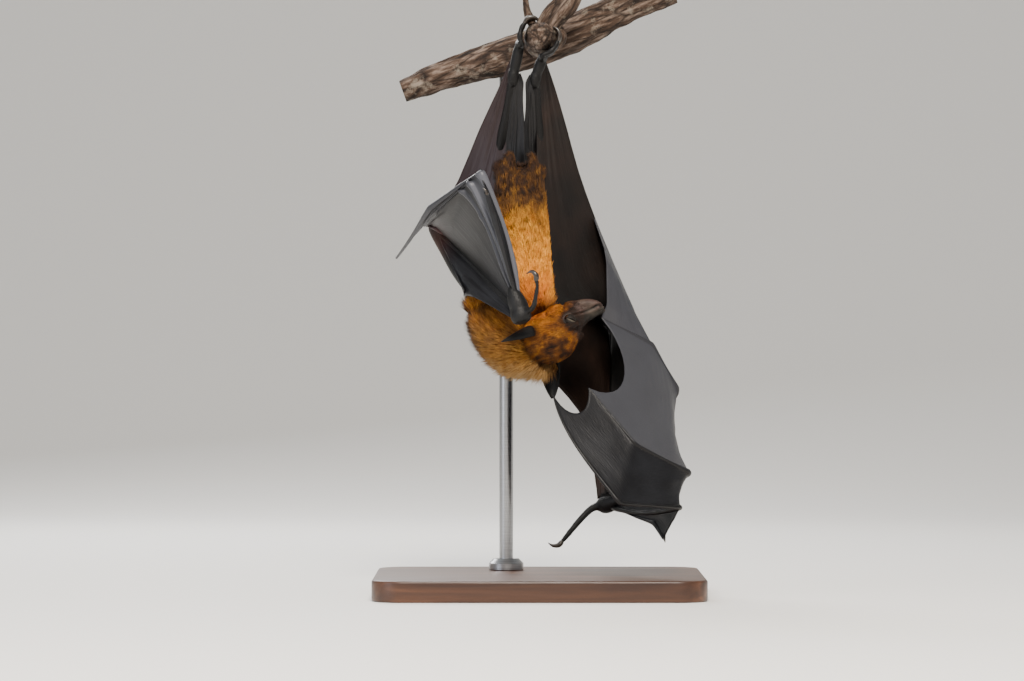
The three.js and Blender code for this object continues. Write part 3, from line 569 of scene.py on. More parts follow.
def furMaterial(name, isCoat):
    material, tree, shader, given = newMaterial(
        name, {"Roughness": 0.7, "IOR": 1.5, "Specular IOR Level": 0.3}
    )
    links = {0: given["spot"], "Scale": 160.0, "Detail": 5.0, "Roughness": 0.65}
    fleck = addNode(tree, "ShaderNodeTexNoise", links=links)
    vary = fleck.outputs[0]
    if isCoat:
        links = {0: given["lock"], 1: 0.0, 2: 1.0, 3: -0.16, 4: 0.16}
        shade = addNode(tree, "ShaderNodeMapRange", links=links)
        vary = addNode(
            tree, "ShaderNodeMath", {"operation": "ADD"}, {0: vary, 1: shade.outputs[0]}
        ).outputs[0]
    shades = {}
    for key, (low, high) in coatColours.items():
        stops = [(0.3, low), (0.7, high)]
        shades[key] = addNode(tree, "ShaderNodeValToRGB", {"stops": stops}, {0: vary}).outputs[0]
    tone = shades["gold"]
    for key, kind in (("orange", "orange"), ("pale", "cream"), ("dark", "dark")):
        tone = addNode(
            tree, "ShaderNodeMix", mixColour, {0: given[key], 6: tone, 7: shades[kind]}
        ).outputs[2]
    if isCoat:
        # the root half of each lock is darker than its tip
        stops = [(0.0, "#857b74"), (0.6, "#ffffff")]
        depth = addNode(tree, "ShaderNodeValToRGB", {"stops": stops}, {0: given["along"]}).outputs[0]
        tone = addNode(tree, "ShaderNodeMix", darken, {0: 1.0, 6: tone, 7: depth}).outputs[2]
    else:
        tone = addNode(tree, "ShaderNodeMix", darken, {0: 1.0, 6: tone, 7: "#a89d95"}).outputs[2]
    finished(tree, shader, tone, fleck.outputs[0], 0.0003)
    return material


underFur = furMaterial("short dense under fur", False)
coatFur = furMaterial("long soft fur", True)
print("materials made")

# Half widths of the bones under their skin, from the root of each to its tip.
boneRadius = {
    "upperArm": [7, 8, 7, 7.5],
    "forearm": [7.5, 5.6, 4.4, 5.5, 7],
    "wrist": [8.5, 8.5, 7, 4.5],
    "thumb": [4.6, 3.2, 3],
    "index": [3.2, 2.2, 2.6, 1.8],
    "metacarpal": [4, 2.5, 2.3, 3.4],
    "finger": [3.2, 1.9, 2.5, 1.6, 0.9],
    "shank": [4.8, 4, 5.5, 7],
    "thigh": [7, 9, 9],
    "toe": [3, 2.2, 2.7, 2.0, 2.4, 1.9],
}
membrane = {"thickness": 0.8, "wristEnd": 0.05, "cornerReach": 0.3, "bow": 6}
# How thick the finger bones of each wing are, how much their knuckles swell, how far the last palm bone bows
# and what knob it has, and how far the wing tip bows, with the shape of that bow.
handLook = {
    "left": {"thin": 1.0, "swell": (0.15, 0.2), "lastBow": 5.0, "knob": 0.4, "tipBow": (4, 1, 1)},
    "right": {"thin": 0.72, "swell": (0.0, 0.1), "lastBow": 0.0, "knob": 0.0, "tipBow": (6.5, 1.6, 0.7)},
}


def thick(radii, low, high):
    # the half width of a bone as a function of t, which goes from low to high along it
    width = spline([[r] for r in radii])
    return lambda t: width((np.asarray(t, float) - low) / (high - low))[..., 0]


def longBones(side):
    # fingers 3 to 5 as (place(t), radius(t)), with joints at t = 0, 1, 2 and 3
    palmWidth = thick(boneRadius["metacarpal"], membrane["wristEnd"], 1)
    outerWidth = thick(boneRadius["finger"], 1, 3)
    bones = []
    for i, name in enumerate(("finger3", "finger4", "finger5")):
        aside = heading(*pose[side]["bow"]) * membrane["bow"] / (i + 1)
        bowed = heading(0, 0) * (handLook[side]["lastBow"] if i == 2 else 0)
        size, early, full = handLook[side]["tipBow"]
        last = heading(*pose[side]["tipBow"]) * (size if i == 0 else 0)

        def put(t, joint=joints[side][name], aside=aside, last=last, bowed=bowed, early=early, full=full):
            hand = np.clip(t, 0, 1)
            bend = np.sin(np.pi * hand)[..., None] * aside + np.sin(np.pi * hand**2.5)[..., None] * bowed
            tip = np.maximum(np.sin(np.pi * np.clip(t - 2, 0, 1) ** early), 0) ** full
            return onChain(joint, t, 0.06) + bend + tip[..., None] * last

        def width(t, knob=handLook[side]["knob"] if i == 2 else 0):
            first, second = handLook[side]["swell"]
            knuckle = 1 + first * bell(t - 1, 0.05) + second * bell(t - 2, 0.05)
            knuckle = knuckle + knob * bell(t - 0.76, 0.03)
            return np.where(t > 1, outerWidth(t), palmWidth(t)) * knuckle * handLook[side]["thin"]

        bones.append((put, width))
    return bones


def indexBone(side):
    # the index finger as (place(t), radius(t)), with t from 0 to 1
    hand, tip = boneShare["index"]
    middle = hand / (hand + tip)
    width = thick(boneRadius["index"], membrane["wristEnd"], 1)

    def put(t):
        bent = np.where(t < middle, t / middle, 1 + (t - middle) / (1 - middle))
        return onChain(joints[side]["index"], bent, 0.06)

    return put, lambda t: width(t) * (1 + 0.2 * bell(t - middle, 0.05))


# Each web between two bones hangs slack, is drawn in at its free edge and has painted shade and painted
# sheen: how dark and how pale it is over the palm, and then over the fingers. The bones get painted shade
# on the right wing and a painted highlight on the left. Ripples have a length and a height.
webLook = {
    "left": {
        "span": (membrane["wristEnd"], 3),
        "rows": 92,
        "columns": 12,
        "slack": [0.1, 0.1],
        "drawnIn": [0.14, 0.3],
        "ripple": (7, 0.3),
        "shadeAndSheen": [(0.0, 0.25, 0.45, 0.0), (0.2, 0.0, 0.45, 0.0)],
        "boneShadeAndSheen": (0.0, 0.45),
    },
    "right": {
        "span": (membrane["wristEnd"], 3),
        "rows": 92,
        "columns": 12,
        "slack": [0.2, 0.5],
        "drawnIn": [0.11, 0.3],
        "ripple": (7, 0.6),
        "shadeAndSheen": [(0.45, 0.0, 0.3, 0.0), (0.0, 0.2, 0.0, 0.3)],
        "boneShadeAndSheen": (0.4, 0.0),
    },
    "index": {
        "span": (membrane["wristEnd"], 1),
        "rows": 40,
        "columns": 8,
        "slack": [0],
        "drawnIn": [0],
        "ripple": (5, 0.4),
        "shadeAndSheen": [(0.35, 0.0, 0.35, 0.0)],
        "boneShadeAndSheen": (0, 0),
    },
}
dome = np.array([0.0, 0.27, 0.52, 0.74, 0.9, 0.985])  # columns over a bone, in shares of its radius
skirt = 1.8  # where the thickening beside a bone ends, in its radii


def fan(bones, look, seed):
    # one closed skin over several bones with loose webs between them
    t = np.linspace(*look["span"], look["rows"])
    step = 0.02
    places = [put(t) for put, _ in bones]
    runs = [unit(put(np.minimum(t + step, 3)) - put(t - step)) for put, _ in bones]
    last = len(bones) - 1
    skin = membrane["thickness"] / 2
    columns, halves, onBone = [], [], []

    def reach(i, j):
        # the step from bone i to bone j, and how far that is square to bone i
        across = places[j] - places[i]
        flat = across - runs[i] * (across * runs[i]).sum(-1, keepdims=True)
        return across, np.linalg.norm(flat, axis=-1)

    def beside(i):
        return reach(i, 1 if i == 0 else i - 1)

    def add(middle, half, bone):
        columns.append(middle)
        halves.append(half)
        onBone.append(bone)

    def addRim(i, order):
        # rounds off the free side of the first or the last bone
        outward = -unit(beside(i)[0])
        for d in order:
            add(places[i] + outward * (radii[i] * d)[:, None], radii[i] * math.sqrt(1 - d * d) + 0.02, 1.0)

    def addWeb(i):
        room = reach(i, i + 1)[1]
        near, far = radii[i], radii[i + 1]
        shelf = np.append(dome[1:], [1.25, skirt])
        shrink = np.minimum(1, 0.46 * room / (skirt * np.maximum(near, far)))

        def share(radius, d):
            # how far across the web a column is that stands d radii off a bone
            return radius * d * shrink / np.maximum(room, 0.01)

        def thickAt(radius, d):
            bone = radius * math.sqrt(max(1 - d * d, 0))
            return np.maximum(bone, skin + radius * 0.14 * max(skirt - d, 0))

        def between(at, v):
            return bones[i][0](at) * (1 - v)[:, None] + bones[i + 1][0](at) * v[:, None]

        def web(v):
            middle = 4 * v * (1 - v)
            s = np.where(t > 1, 1 + (t - 1) * (1 - look["drawnIn"][i] * middle), t)
            before, after = s - membrane["cornerReach"], s + membrane["cornerReach"]
            chord = (between(np.maximum(before, 0), v) + between(np.minimum(after, 3), v)) / 2
            taut = between(s, v)
            return taut + (chord - taut) * (look["slack"][i] * middle)[:, None]

        def boneShareAt(d):
            return float(np.interp(d, [1, 1.25, skirt], [1, 0.4, 0]))

        for d in shelf:
            add(web(share(near, d)), thickAt(near, d), boneShareAt(d))
        first, final = share(near, skirt), 1 - share(far, skirt)
        for k in range(1, look["columns"] + 1):
            v = first + (final - first) * k / (look["columns"] + 1)
            add(web(v), np.full(look["rows"], skin), 0.0)
        for d in shelf[::-1]:
            add(web(1 - share(far, d)), thickAt(far, d), boneShareAt(d))

    radii = [np.minimum(width(t), 0.35 * beside(i)[1] + 0.5) for i, (_, width) in enumerate(bones)]
    addRim(0, dome[:0:-1])
    for i, radius in enumerate(radii):
        add(places[i], radius, 1.0)
        if i < last:
            addWeb(i)
    addRim(last, dome[1:])

    middle, half = np.stack(columns, 1), np.stack(halves, 1)
    edge = len(dome) - 1
    across = np.clip((np.arange(middle.shape[1]) - edge) / (middle.shape[1] - 2 * edge - 1), 0, 1) * last
    webShadeSheen = np.array(look["shadeAndSheen"])[np.minimum(across.astype(int), last - 1)]
    beyond = ramp(t, 0.95, 1.1)[:, None, None]  # from the palm on to the fingers
    # painted shade (dark) and painted sheen (pale) of each web, with painted shade or a painted highlight
    # over the bones
    mark = np.zeros((*middle.shape[:2], 3))
    mark[..., 1:] = webShadeSheen[None, :, :2] + (webShadeSheen[None, :, 2:] - webShadeSheen[None, :, :2]) * beyond
    mark[..., 1:] += np.array(onBone)[None, :, None] * np.array(look["boneShadeAndSheen"])
    normal = unit(np.cross(np.gradient(middle, axis=0), np.gradient(middle, axis=1)))
    loose = ramp(1 - half / (half.max(1, keepdims=True)), 0.3, 0.9)
    sideways = np.cumsum(np.linalg.norm(np.diff(middle, axis=1, prepend=middle[:, :1]), axis=-1), axis=1)
    along = np.broadcast_to(t[:, None] * 100, sideways.shape)
    grain = np.stack([sideways, along, np.zeros_like(sideways)], -1)
    length, height = look["ripple"]
    wave = speckle((grain * [1, 0.16, 0] + [0, 0, seed]).reshape(-1, 3), length, seed).reshape(half.shape)
    middle = middle + normal * (wave * height * loose)[..., None]
    part = twoSided(
        middle + normal * half[..., None], middle - normal * half[..., None], (backSlot, backSlot)
    )
    part["grain"] = np.vstack([grain.reshape(-1, 3)] * 2)
    part["mark"] = np.vstack([mark.reshape(-1, 3)] * 2)
    return part


def wingFans(side):
    # the long fingers with their webs, and the narrow web from the index finger to the first of them
    long = longBones(side)
    put, width = long[0]
    return [
        fan(long, webLook[side], 3),
        fan([indexBone(side), (put, lambda t: width(t) * 0.8)], webLook["index"], 5),
    ]


print("fans of fingers ready")

# Each side membrane runs from its free edge to the leg, the body and the arm.
flank = {
    "left": {
        "edge": [
            (-19, 4, 455), (-27.5, 14, 433), (-45, 31, 399), (-64, 50, 350), (-78, 49, 333), (-86, 47, 324)
        ],
        "body": [
            (-15, 4, 453), (-18, 8, 432), (-22, 28, 374), (-22, 14, 340), (-36, 8, 280), (-60, 22, 291)
        ],
    },
    "right": {
        "edge": [
            (12, 18, 454),
            (19.5, 26, 434),
            (30.6, 36, 397),
            (39.2, 48, 364),
            (54.2, 58, 323),
            (70, 64, 285),
            (89, 62, 241),
        ],
        "body": [
            (8, 10, 452),
            (4, 12, 432),
            (4, 28, 372),
            (3, 20, 340),
            (4, 16, 300),
            (1, 13, 236),
            (42, 60, 243),
        ],
        "flap": [(53, 54, 325), (58, 46, 309), (62, 42, 298), (64, 39, 286), (64.5, 39, 248)],
    },
}
frontEdge = {
    "left": [(-58, -7, 255), (-51, -26, 255), (-33, -47, 245), (-18, -61, 236)],
    "right": [(-2, 26, 208), (21, 42, 179), (43, 58, 156), (50, 63, 131), (54, 66, 105), (57, 66, 80)],
}


def strip(near, far, low, high, softEnd=0.0):
    # the surface between two chains of points, with round corners up to softEnd
    near, far = np.asarray(near, float), np.asarray(far, float)

    def surface(u, v):
        a, b = low[0] + (high[0] - low[0]) * v, low[1] + (high[1] - low[1]) * v
        first = onChain(near, a, np.where(a < softEnd, 0.5, 0.1))
        second = onChain(far, b, np.where(b < softEnd, 0.5, 0.1))
        return first + (second - first) * u[..., None]

    return surface


def folds(seed, size, depth, across=8.0):
    # soft folds of this size and depth, deepest midway across a sheet
    def rise(u, v):
        spots = np.stack([u * across, v * 3, np.full_like(u, seed)], -1).reshape(-1, 3)
        return depth * np.sin(np.pi * u) * speckle(spots, size, seed).reshape(u.shape)

    return rise


def armFace(side, places):
    # points along the arm, out on the side of the bones that faces forwards, where the skin passes over them
    t = np.array(places, float)
    radius = np.interp(t, [0, 0.5, 1, 1.5, 2], [11, 8, 7, 5, 6.5])
    return onChain(joints[side]["arm"], t, 0.05) + np.stack([0 * t, -0.85 * radius, 0 * t], -1)


def elbowBlush(side, points):
    # the thin reddened skin below the folded elbow
    off = (points - joints[side]["arm"][1] - [7, 0, -15]) * [1, 0.25, 0.6]
    return 0.85 * bell(away(off, 0), 10) * (side == "left")


def markedDarkPale(part, dark, pale=0.0):
    # marks both sides of a sheet dark and pale, each by a number or by a function of u and v
    u, v = part["share"]
    shade, light = (
        np.broadcast_to(tone(u, v) if callable(tone) else tone, u.shape).ravel() for tone in (dark, pale)
    )
    mark = np.stack([0 * shade, shade, light], -1).clip(0, 1)
    part["mark"] = np.vstack([mark, mark])
    return part


def sideMembrane(side):
    # the skin from the body and arm to the last finger; on the right its corner is turned over as a flap
    p = flank[side]
    last = longBones(side)[2][0]
    flap = p.get("flap")
    onFinger = [2, 1, 0.5, 0.06] if flap else [3, 2, 1, 0.76, 0.5, 0.06]
    onArm = [1, 1.35, 1.7, 1.94] if flap else [1, 1.08, 1.2, 1.45, 1.7, 1.94]
    outer = [*p["edge"], *last(np.array(onFinger, float))]
    fixed = [*p["body"], *armFace(side, onArm)]
    end = len(fixed) - 1
    soft = len(p["edge"]) - 1.5

    def billow(u, v):
        hand = ramp(v * end, len(p["edge"]), len(p["edge"]) + 1)
        long = folds(4, 1.0, 1.0, 22)(u, v) * (1 - ramp(v * end, 2.5, 5))
        return (folds(2, 1.1, 1.6)(u, v) + long) * (1 - 0.7 * hand)

    slots = (backSlot, backSlot if side == "left" else innerSlot)
    main = sheet(
        strip(fixed, outer, (0, 0), (end, end), soft), 26, 90, membrane["thickness"], slots, billow
    )
    if side == "left":
        # the sheet over the forearm is lifted forwards in a low arch, and reddened at the elbow
        across, down = main["share"]
        arch = 4 * across * (1 - across) * ramp(down * end, len(p["edge"]) + 0.5, len(p["edge"]) + 2.5)
        main["points"][:, 1] -= np.concatenate([arch.reshape(-1)] * 2) * 2.5
        brown = 0.14 * (1 - ramp(down * end, 4, 7)).reshape(-1)
        main["warm"] = np.maximum(elbowBlush(side, main["points"]), np.concatenate([brown, brown]))[:, None]

        def outerShade(u, v):
            # darkest beside the folded fingers
            return 0.12 + 0.6 * ramp(v * end, 5.5, 7) * (1 - ramp(v * end, 8.5, 10.5))

        return [markedDarkPale(main, outerShade)]

    def hollowShade(u, v):
        # darkest in the hollow of the wing beside the body
        beside = ramp(v * end, 3.5, 6.2) * ramp(1 - u, 0.02, 0.5)
        return 0.2 + 0.35 * ramp(v * end, 1.2, 2.5) + 0.45 * beside

    fold = [*p["edge"][4:], last(np.array([2.0]))[0]]
    free = [*flap, last(np.array([3.0]))[0]]
    ends = (len(fold) - 1, len(free) - 1)
    corner = strip(fold, free, (0.05, 0.2), ends, 2)
    turnedOver = sheet(corner, 18, 60, membrane["thickness"], (backSlot, innerSlot), folds(5, 1.3, 0.8))
    # the turned-over corner gets a painted sheen
    return [markedDarkPale(main, hollowShade), markedDarkPale(turnedOver, 0.0, 0.3)]


def frontMembrane(side):
    # the skin in front of the arm, from the shoulder to the wrist
    places = [0.1, 0.5, 1, 1.35, 1.7, 1.96]
    end = len(frontEdge[side]) - 1
    surface = strip(frontEdge[side], armFace(side, places), (0, 0), (end, len(places) - 1), 9)
    slots = (backSlot, backSlot if side == "left" else innerSlot)
    part = sheet(surface, 20, 44, membrane["thickness"], slots, folds(7, 1.2, 1.3))
    part["warm"] = elbowBlush(side, part["points"])[:, None]
    return markedDarkPale(part, 0.15)


# Each leg membrane hangs between the shank and a free edge that nearly meets the other one.
legEdge = {
    "left": [
        (-10, 3, 444),
        (-6.6, 4, 436),
        (-7.7, 5, 429),
        (-7.6, 8, 414),
        (-6.2, 10, 402),
        (-6, 12, 376),
        (-6, 14, 348),
    ],
    "right": [
        (-2, 7, 443),
        (-6.2, 7, 436),
        (-5.2, 7, 429),
        (-5.1, 8, 414),
        (-6.4, 10, 402),
        (-6.6, 12, 376),
        (-6.6, 14, 348),
    ],
}


def legMembrane(side):
    ankle, knee, hip = joints[side]["leg"]
    leg = [ankle + (knee - ankle) * t + [0, -3, 0] for t in (0, 0.08, 0.2, 0.4, 0.6, 1)]
    leg.append(knee + (hip - knee) * 0.6)
    surface = strip(leg, legEdge[side], (0, 0), (6, 6), 9)
    part = sheet(surface, 22, 44, membrane["thickness"], (backSlot, backSlot), folds(9, 1.0, 1.6, 10))
    return markedDarkPale(part, 0.6)


def armParts(side):
    # the arm and thumb; the left wrist has a broad heel and the right elbow a knob
    shoulder, elbow, wrist = joints[side]["arm"]
    knuckle = joints[side]["finger4"][1]
    between = [elbow + (wrist - elbow) * t for t in (0, 0.33, 0.67, 1)]
    shoulder = shoulder + ([6, 12, 2] if side == "left" else [0, 8, 0])  # hidden in the coat
    thumb, thumbRadius = joints[side]["thumb"], boneRadius["thumb"]
    if side == "left":
        thumb = [*(wrist + off for off in ([3, -5, 0], [10, -15, 4], [13.2, -23, 19])), thumb[2]]
        thumbRadius = [3.4, 2.5, 2.0, 2.6]
        extra = limb([wrist + [-2, 0, 3], wrist + [2, -3, -9]], [9, 9])
    else:
        extra = limb([elbow + [-8, -12, -1], elbow, elbow + [-1, -6, -10]], [8, 8, 7])
    return [
        extra,
        limb([shoulder, (shoulder + elbow) / 2, elbow], boneRadius["upperArm"]),
        limb(between, boneRadius["forearm"], rings=40),
        limb([wrist + (knuckle - wrist) * t for t in (-0.04, 0.2)], boneRadius["wrist"]),
        limb(thumb, thumbRadius),
    ]


# The feet hold a stub of branch: each toe starts so many degrees round it and curls on in its own direction.
stub = {"x": 6.0, "z": 475.0, "radius": 13.0}
toeLift = 3.3  # from the bark to the middle of a toe
footSide = {
    "left": {"start": 208, "turn": -1, "spread": -1, "bar": (-10.5, 468)},
    "right": {"start": -82, "turn": 1, "spread": 3, "bar": (9, 457)},
}


def onStub(angle, y, off):
    # a place round the stub, so far off its bark
    a, r = math.radians(angle), stub["radius"] + off
    return np.array([stub["x"] + r * math.cos(a), y, stub["z"] + r * math.sin(a)])


def toePlaces(side):
    # the five toes stand side by side along the stub
    return [(i - 2) * 6 + footSide[side]["spread"] for i in range(5)]


def legParts(side):
    # the ankle, heel, ball and toes of a foot, and its shank
    start, turn = footSide[side]["start"], footSide[side]["turn"]
    x, z = footSide[side]["bar"]
    spread = footSide[side]["spread"]
    ankle, ball = np.array(pose[side]["ankle"], float), np.array([x, spread, z])
    parts = [limb([ankle, (ankle + ball) / 2, ball], [4.6, 4.8, 5.2])]
    parts.append(limb([ankle + (ball - ankle) * 0.35, ankle, ankle + [0, 1, -9]], [4.0, 5.0, 4.0]))
    parts.append(limb([[x, y + spread, z] for y in (-12, 0, 12)], [2.6, 4.2, 2.6]))
    for y in toePlaces(side):
        toe = [onStub(start + turn * swing, y, toeLift) for swing in (0, 18, 36, 54, 72)]
        parts.append(limb(toe, boneRadius["toe"]))
        parts.append(limb([ball + (np.array([x, y, z]) - ball) * 0.4, toe[0]], [2.4, 2.6, 2.8]))
    knee = joints[side]["leg"][1]
    parts.append(limb([ankle, (ankle + knee) / 2, knee], boneRadius["shank"]))
    return parts


skinParts = []
for side in ("left", "right"):
    skinParts += wingFans(side) + sideMembrane(side) + [frontMembrane(side), legMembrane(side)]
    arm = remeshed(armParts(side), 1.7, 3)
    arm["warm"] = elbowBlush(side, arm["points"])[:, None]
    leg = remeshed(legParts(side), 1.05, 2)
    # arms and legs are darkened, the right arm more than the left and the legs fully; round the wrist it is
    # the skin's own black deepened by painted shade
    for part, shade in ((arm, 0.35 if side == "left" else 0.5), (leg, 1.0)):
        part["slot"] = hideSlot
        dark = np.maximum(shade, 0.9 * bell(away(part["points"], joints[side]["arm"][2]), 15))
        part["mark"] = np.stack([0 * dark, dark, 0 * dark], -1)
        skinParts.append(part)
print("wings and legs made")

# How far the coat stands off the skin. Sections are (centre, half width, half depth) to the tips of the coat.
coatDepth = {"trunk": 4.0, "neck": 7.0, "thigh": 1.5}
trunkSections = [
    ((-14, 4, 222), 32, 29),
    ((-16, 7, 236), 37, 31),
    ((-10, 11, 262), 30, 28),
    ((-9, 10, 290), 28, 26),
    ((-9, 9, 325), 25.5, 24),
    ((-9, 12, 353), 21, 18),
    ((-9, 14, 369), 13, 11),
]
neckSections = [
    ((0, -8, 189), 21, 19),
    ((-5, -5, 202), 31, 27),
    ((-11, -1, 216), 37, 31),
    ((-17, 3, 232), 42, 33),
    ((-22, 6, 251), 42, 31),
]
# The head from the back of the skull to the nose: how far forward, crown, jaw, half width, depth of the coat.
headSections = [
    (-26, 16.7, -19.1, 14, 6),
    (-14, 24.6, -24.6, 22, 6),
    (0, 28.4, -26.6, 24.5, 5.5),
    (13, 28.2, -27, 23, 4.5),
    (24, 23.1, -27.1, 19, 3.2),
    (32, 13.1, -26.3, 15.5, 2),
    (38, 1.7, -25.3, 12.5, 1.2),
    (45, -4.5, -23.8, 10, 0.7),
    (53, -7.1, -21.5, 8.6, 0.5),
    (60.5, -9.1, -18.1, 7, 0.4),
]


def skullForm(sides=48, rings=60, under=0.0):
    # the skull under its coat, and so much further under
    sections = [
        (onHead(f, 0, (crown + jaw) / 2), half - coat - under, (crown - jaw) / 2 - coat - under)
        for f, crown, jaw, half, coat in headSections
    ]
    return form(sections, headLeft, headCrown, 0.0, sides, rings)


def thighForm(side):
    _, knee, hip = joints[side]["leg"]
    return limb([knee, (knee + hip) / 2, hip], [r - coatDepth["thigh"] for r in boneRadius["thigh"]])


neckForm = form(neckSections, bodyLeft, bodyFront, coatDepth["neck"])
bodyCore = remeshed(
    [
        form(trunkSections, bodyLeft, bodyFront, coatDepth["trunk"]),
        neckForm,
        skullForm(under=2.5),
        thighForm("left"),
        thighForm("right"),
        limb([(-18, 5, 373), (-22, 7, 345), (-23, 9, 314)], [6, 8.5, 8]),
        limb([(-0.5, 6, 372), (2, 9, 345), (6, 12, 314)], [5.5, 8, 8]),
        limb([(-30, 0, 238), (-42, -2, 245), (-50, -3, 251)], [16, 12, 7]),
    ],
    2.2,
    4,
)
skinParts.append(bodyCore)

# Head: the skull with lips, a lower jaw, nostrils, brows and cheeks, on a finer grid. Each form is a line of
# (forward, left, crown) with its half widths.
eyeSize = {"radius": 5.3, "forward": 30.5, "left": 11, "crown": -3.3}
faceForms = [
    ([(36, 8.2, -18.5), (48, 6.6, -17.2), (58, 4.8, -15.0)], [4.6, 4.4, 3.6]),
    ([(30, 8.4, -20.5), (44, 5.6, -18.8), (56, 3.4, -16.6)], [4.0, 3.4, 2.6]),
    ([(55, 3.2, -12.6), (60.6, 4.1, -12.4)], [2.6, 2.2]),
    ([(22, 13.5, 4.6), (31, 12.0, 3.0), (38, 8.4, 0.2)], [3.2, 3.0, 2.3]),
    ([(16, 14.5, -12.5), (28, 12.5, -14.5)], [5.5, 4.5]),
]
mouth = {"crown": -11.4, "slope": -0.26, "forward": 50, "width": 0.75, "depth": 1.5, "lips": 1.7}
nostril = {"forward": 59, "left": 5.2, "crown": -12.4, "width": 1.8, "depth": 2.6}
bareFace = {"muzzle": 36, "eye": (30.5, 12.2, -3.3), "eyeRadius": 6.5}
headParts = [skullForm(64, 80)]
for line, radii in faceForms:
    for way in (1, -1):
        headParts.append(limb([onHead(f, left * way, crown) for f, left, crown in line], radii))
faceSkin = remeshed(headParts, 1.15, 2)


def eyeCentre(way):
    return onHead(eyeSize["forward"], eyeSize["left"] * way, eyeSize["crown"])


def shapeFace(part):
    # presses in the mouth, nostrils and eye sockets, and darkens the mouth slit, the nostrils, the skin above
    # the mouth line and, as painted shade, the eye sockets
    points = part["points"]
    f, left, crown = headPlace(points)
    normal = facing(part)
    lip = mouth["crown"] + mouth["slope"] * (f - mouth["forward"])
    dark = inMouth = bell(crown - lip, mouth["width"]) * ramp(f, 31, 36)
    lips = bell(np.abs(crown - lip) - mouth["lips"], 1.0) * ramp(f, 33, 40)
    points -= normal * (inMouth * mouth["depth"])[:, None]
    points += normal * (lips * 0.45)[:, None]
    for way in (1, -1):
        hole = away(points, onHead(nostril["forward"], nostril["left"] * way, nostril["crown"]))
        pit, collar = bell(hole, nostril["width"]) * nostril["depth"], bell(hole - 3, 0.9) * 0.5
        points -= normal * (pit - collar)[:, None]
        dark = np.maximum(dark, bell(hole, 2.0))
        off = away(points, eyeCentre(way))
        outward = unit(points - onHead(24, 0, -6))
        points -= outward * (ramp(off, 7.5, 4.0) * 0.5)[:, None]
        # painted shade in the eye socket
        dark = np.maximum(dark, 0.75 * bell(off, 6.5))
    groove = bell(left, 1.1) * ramp(f, 56, 60) * ramp(crown, -18, -15)
    points -= normal * (groove * 0.9)[:, None]
    points += normal * (speckle(points, 2.6, 4) * 0.18 * ramp(f, 30, 45))[:, None]
    part["warm"] = np.maximum(dark, 0.9 * ramp(crown - lip, 0, 3))[:, None]


def isBare(part):
    # which faces have no fur: the muzzle, and a ring round each eye
    centres = np.array([part["points"][list(face)].mean(0) for face in part["faces"]])
    f, _, crown = headPlace(centres)
    bare = f > bareFace["muzzle"] + 0.25 * (crown + 18)
    forward, left, up = bareFace["eye"]
    for way in (1, -1):
        bare |= away(centres, onHead(forward, left * way, up)) < bareFace["eyeRadius"]
    return bare


shapeFace(faceSkin)
faceSkin["slots"] = np.where(isBare(faceSkin), muzzleSlot, furSlot).tolist()
skinParts.append(faceSkin)

# Ears: thin leaves cupped round their own length, thicker at the root. Each has a place on the head that it
# points to, a direction that lies across it and a half width that changes up the leaf.
earLook = {
    "left": {
        "way": 1,
        "tip": (-27, 41, 18),
        "across": headCrown,
        "width": lambda v: 5.9 * np.sin(np.pi * (0.25 + 0.74 * v)) ** 0.8 * (1 - 0.5 * v),
    },
    "right": {
        "way": -1,
        "tip": (-2, -40, 35),
        "across": headForward,
        "width": lambda v: 9 * np.sin(np.pi * (0.13 + 0.85 * v)) ** 0.8,
    },
}
earLength = 45


def earSheet(side):
    look = earLook[side]
    way, wide = look["way"], look["across"]
    root = onHead(6, way * 16.5, -1)
    run = unit(onHead(*look["tip"]) - root) * earLength
    across = unit(wide - run * (wide @ run) / (run @ run))
    outward = unit(np.cross(run, across)) * way

    def surface(u, v):
        angle = (u * 2 - 1) * 1.1
        half = look["width"](v)
        fold = 0.5 * bell(u - 0.12, 0.08) * np.sin(np.pi * v)
        cup = half * (np.cos(angle) - 0.6) + fold - 8 * ramp(v, 0.32, 0) ** 2
        sideways = half * np.sin(angle) * way
        return root + run * v[..., None] + across * sideways[..., None] + outward * cup[..., None]

    part = sheet(surface, 24, 34, lambda u, v: 0.9 + 0.9 * (1 - v), (hideSlot, hideSlot))
    return markedDarkPale(part, lambda u, v: 0.85 - 0.3 * bell(v - 1, 0.2))


skinParts += [earSheet("left"), earSheet("right")]

# Eyelids: thick soft rims round a narrow slit, pale at the edge.
lidShape = {"radius": 6.0, "slitLength": 5.0, "slitHeight": 0.4, "outer": 1.3}


def eyeAxes(way):
    # the way an eye looks, along its slit and across it
    look = unit(headLeft * way * 0.86 + headForward * 0.45 + headCrown * 0.4)
    along = unit(np.cross(headCrown * 0.9 - headForward * 0.45, look))
    return look, along, np.cross(look, along)


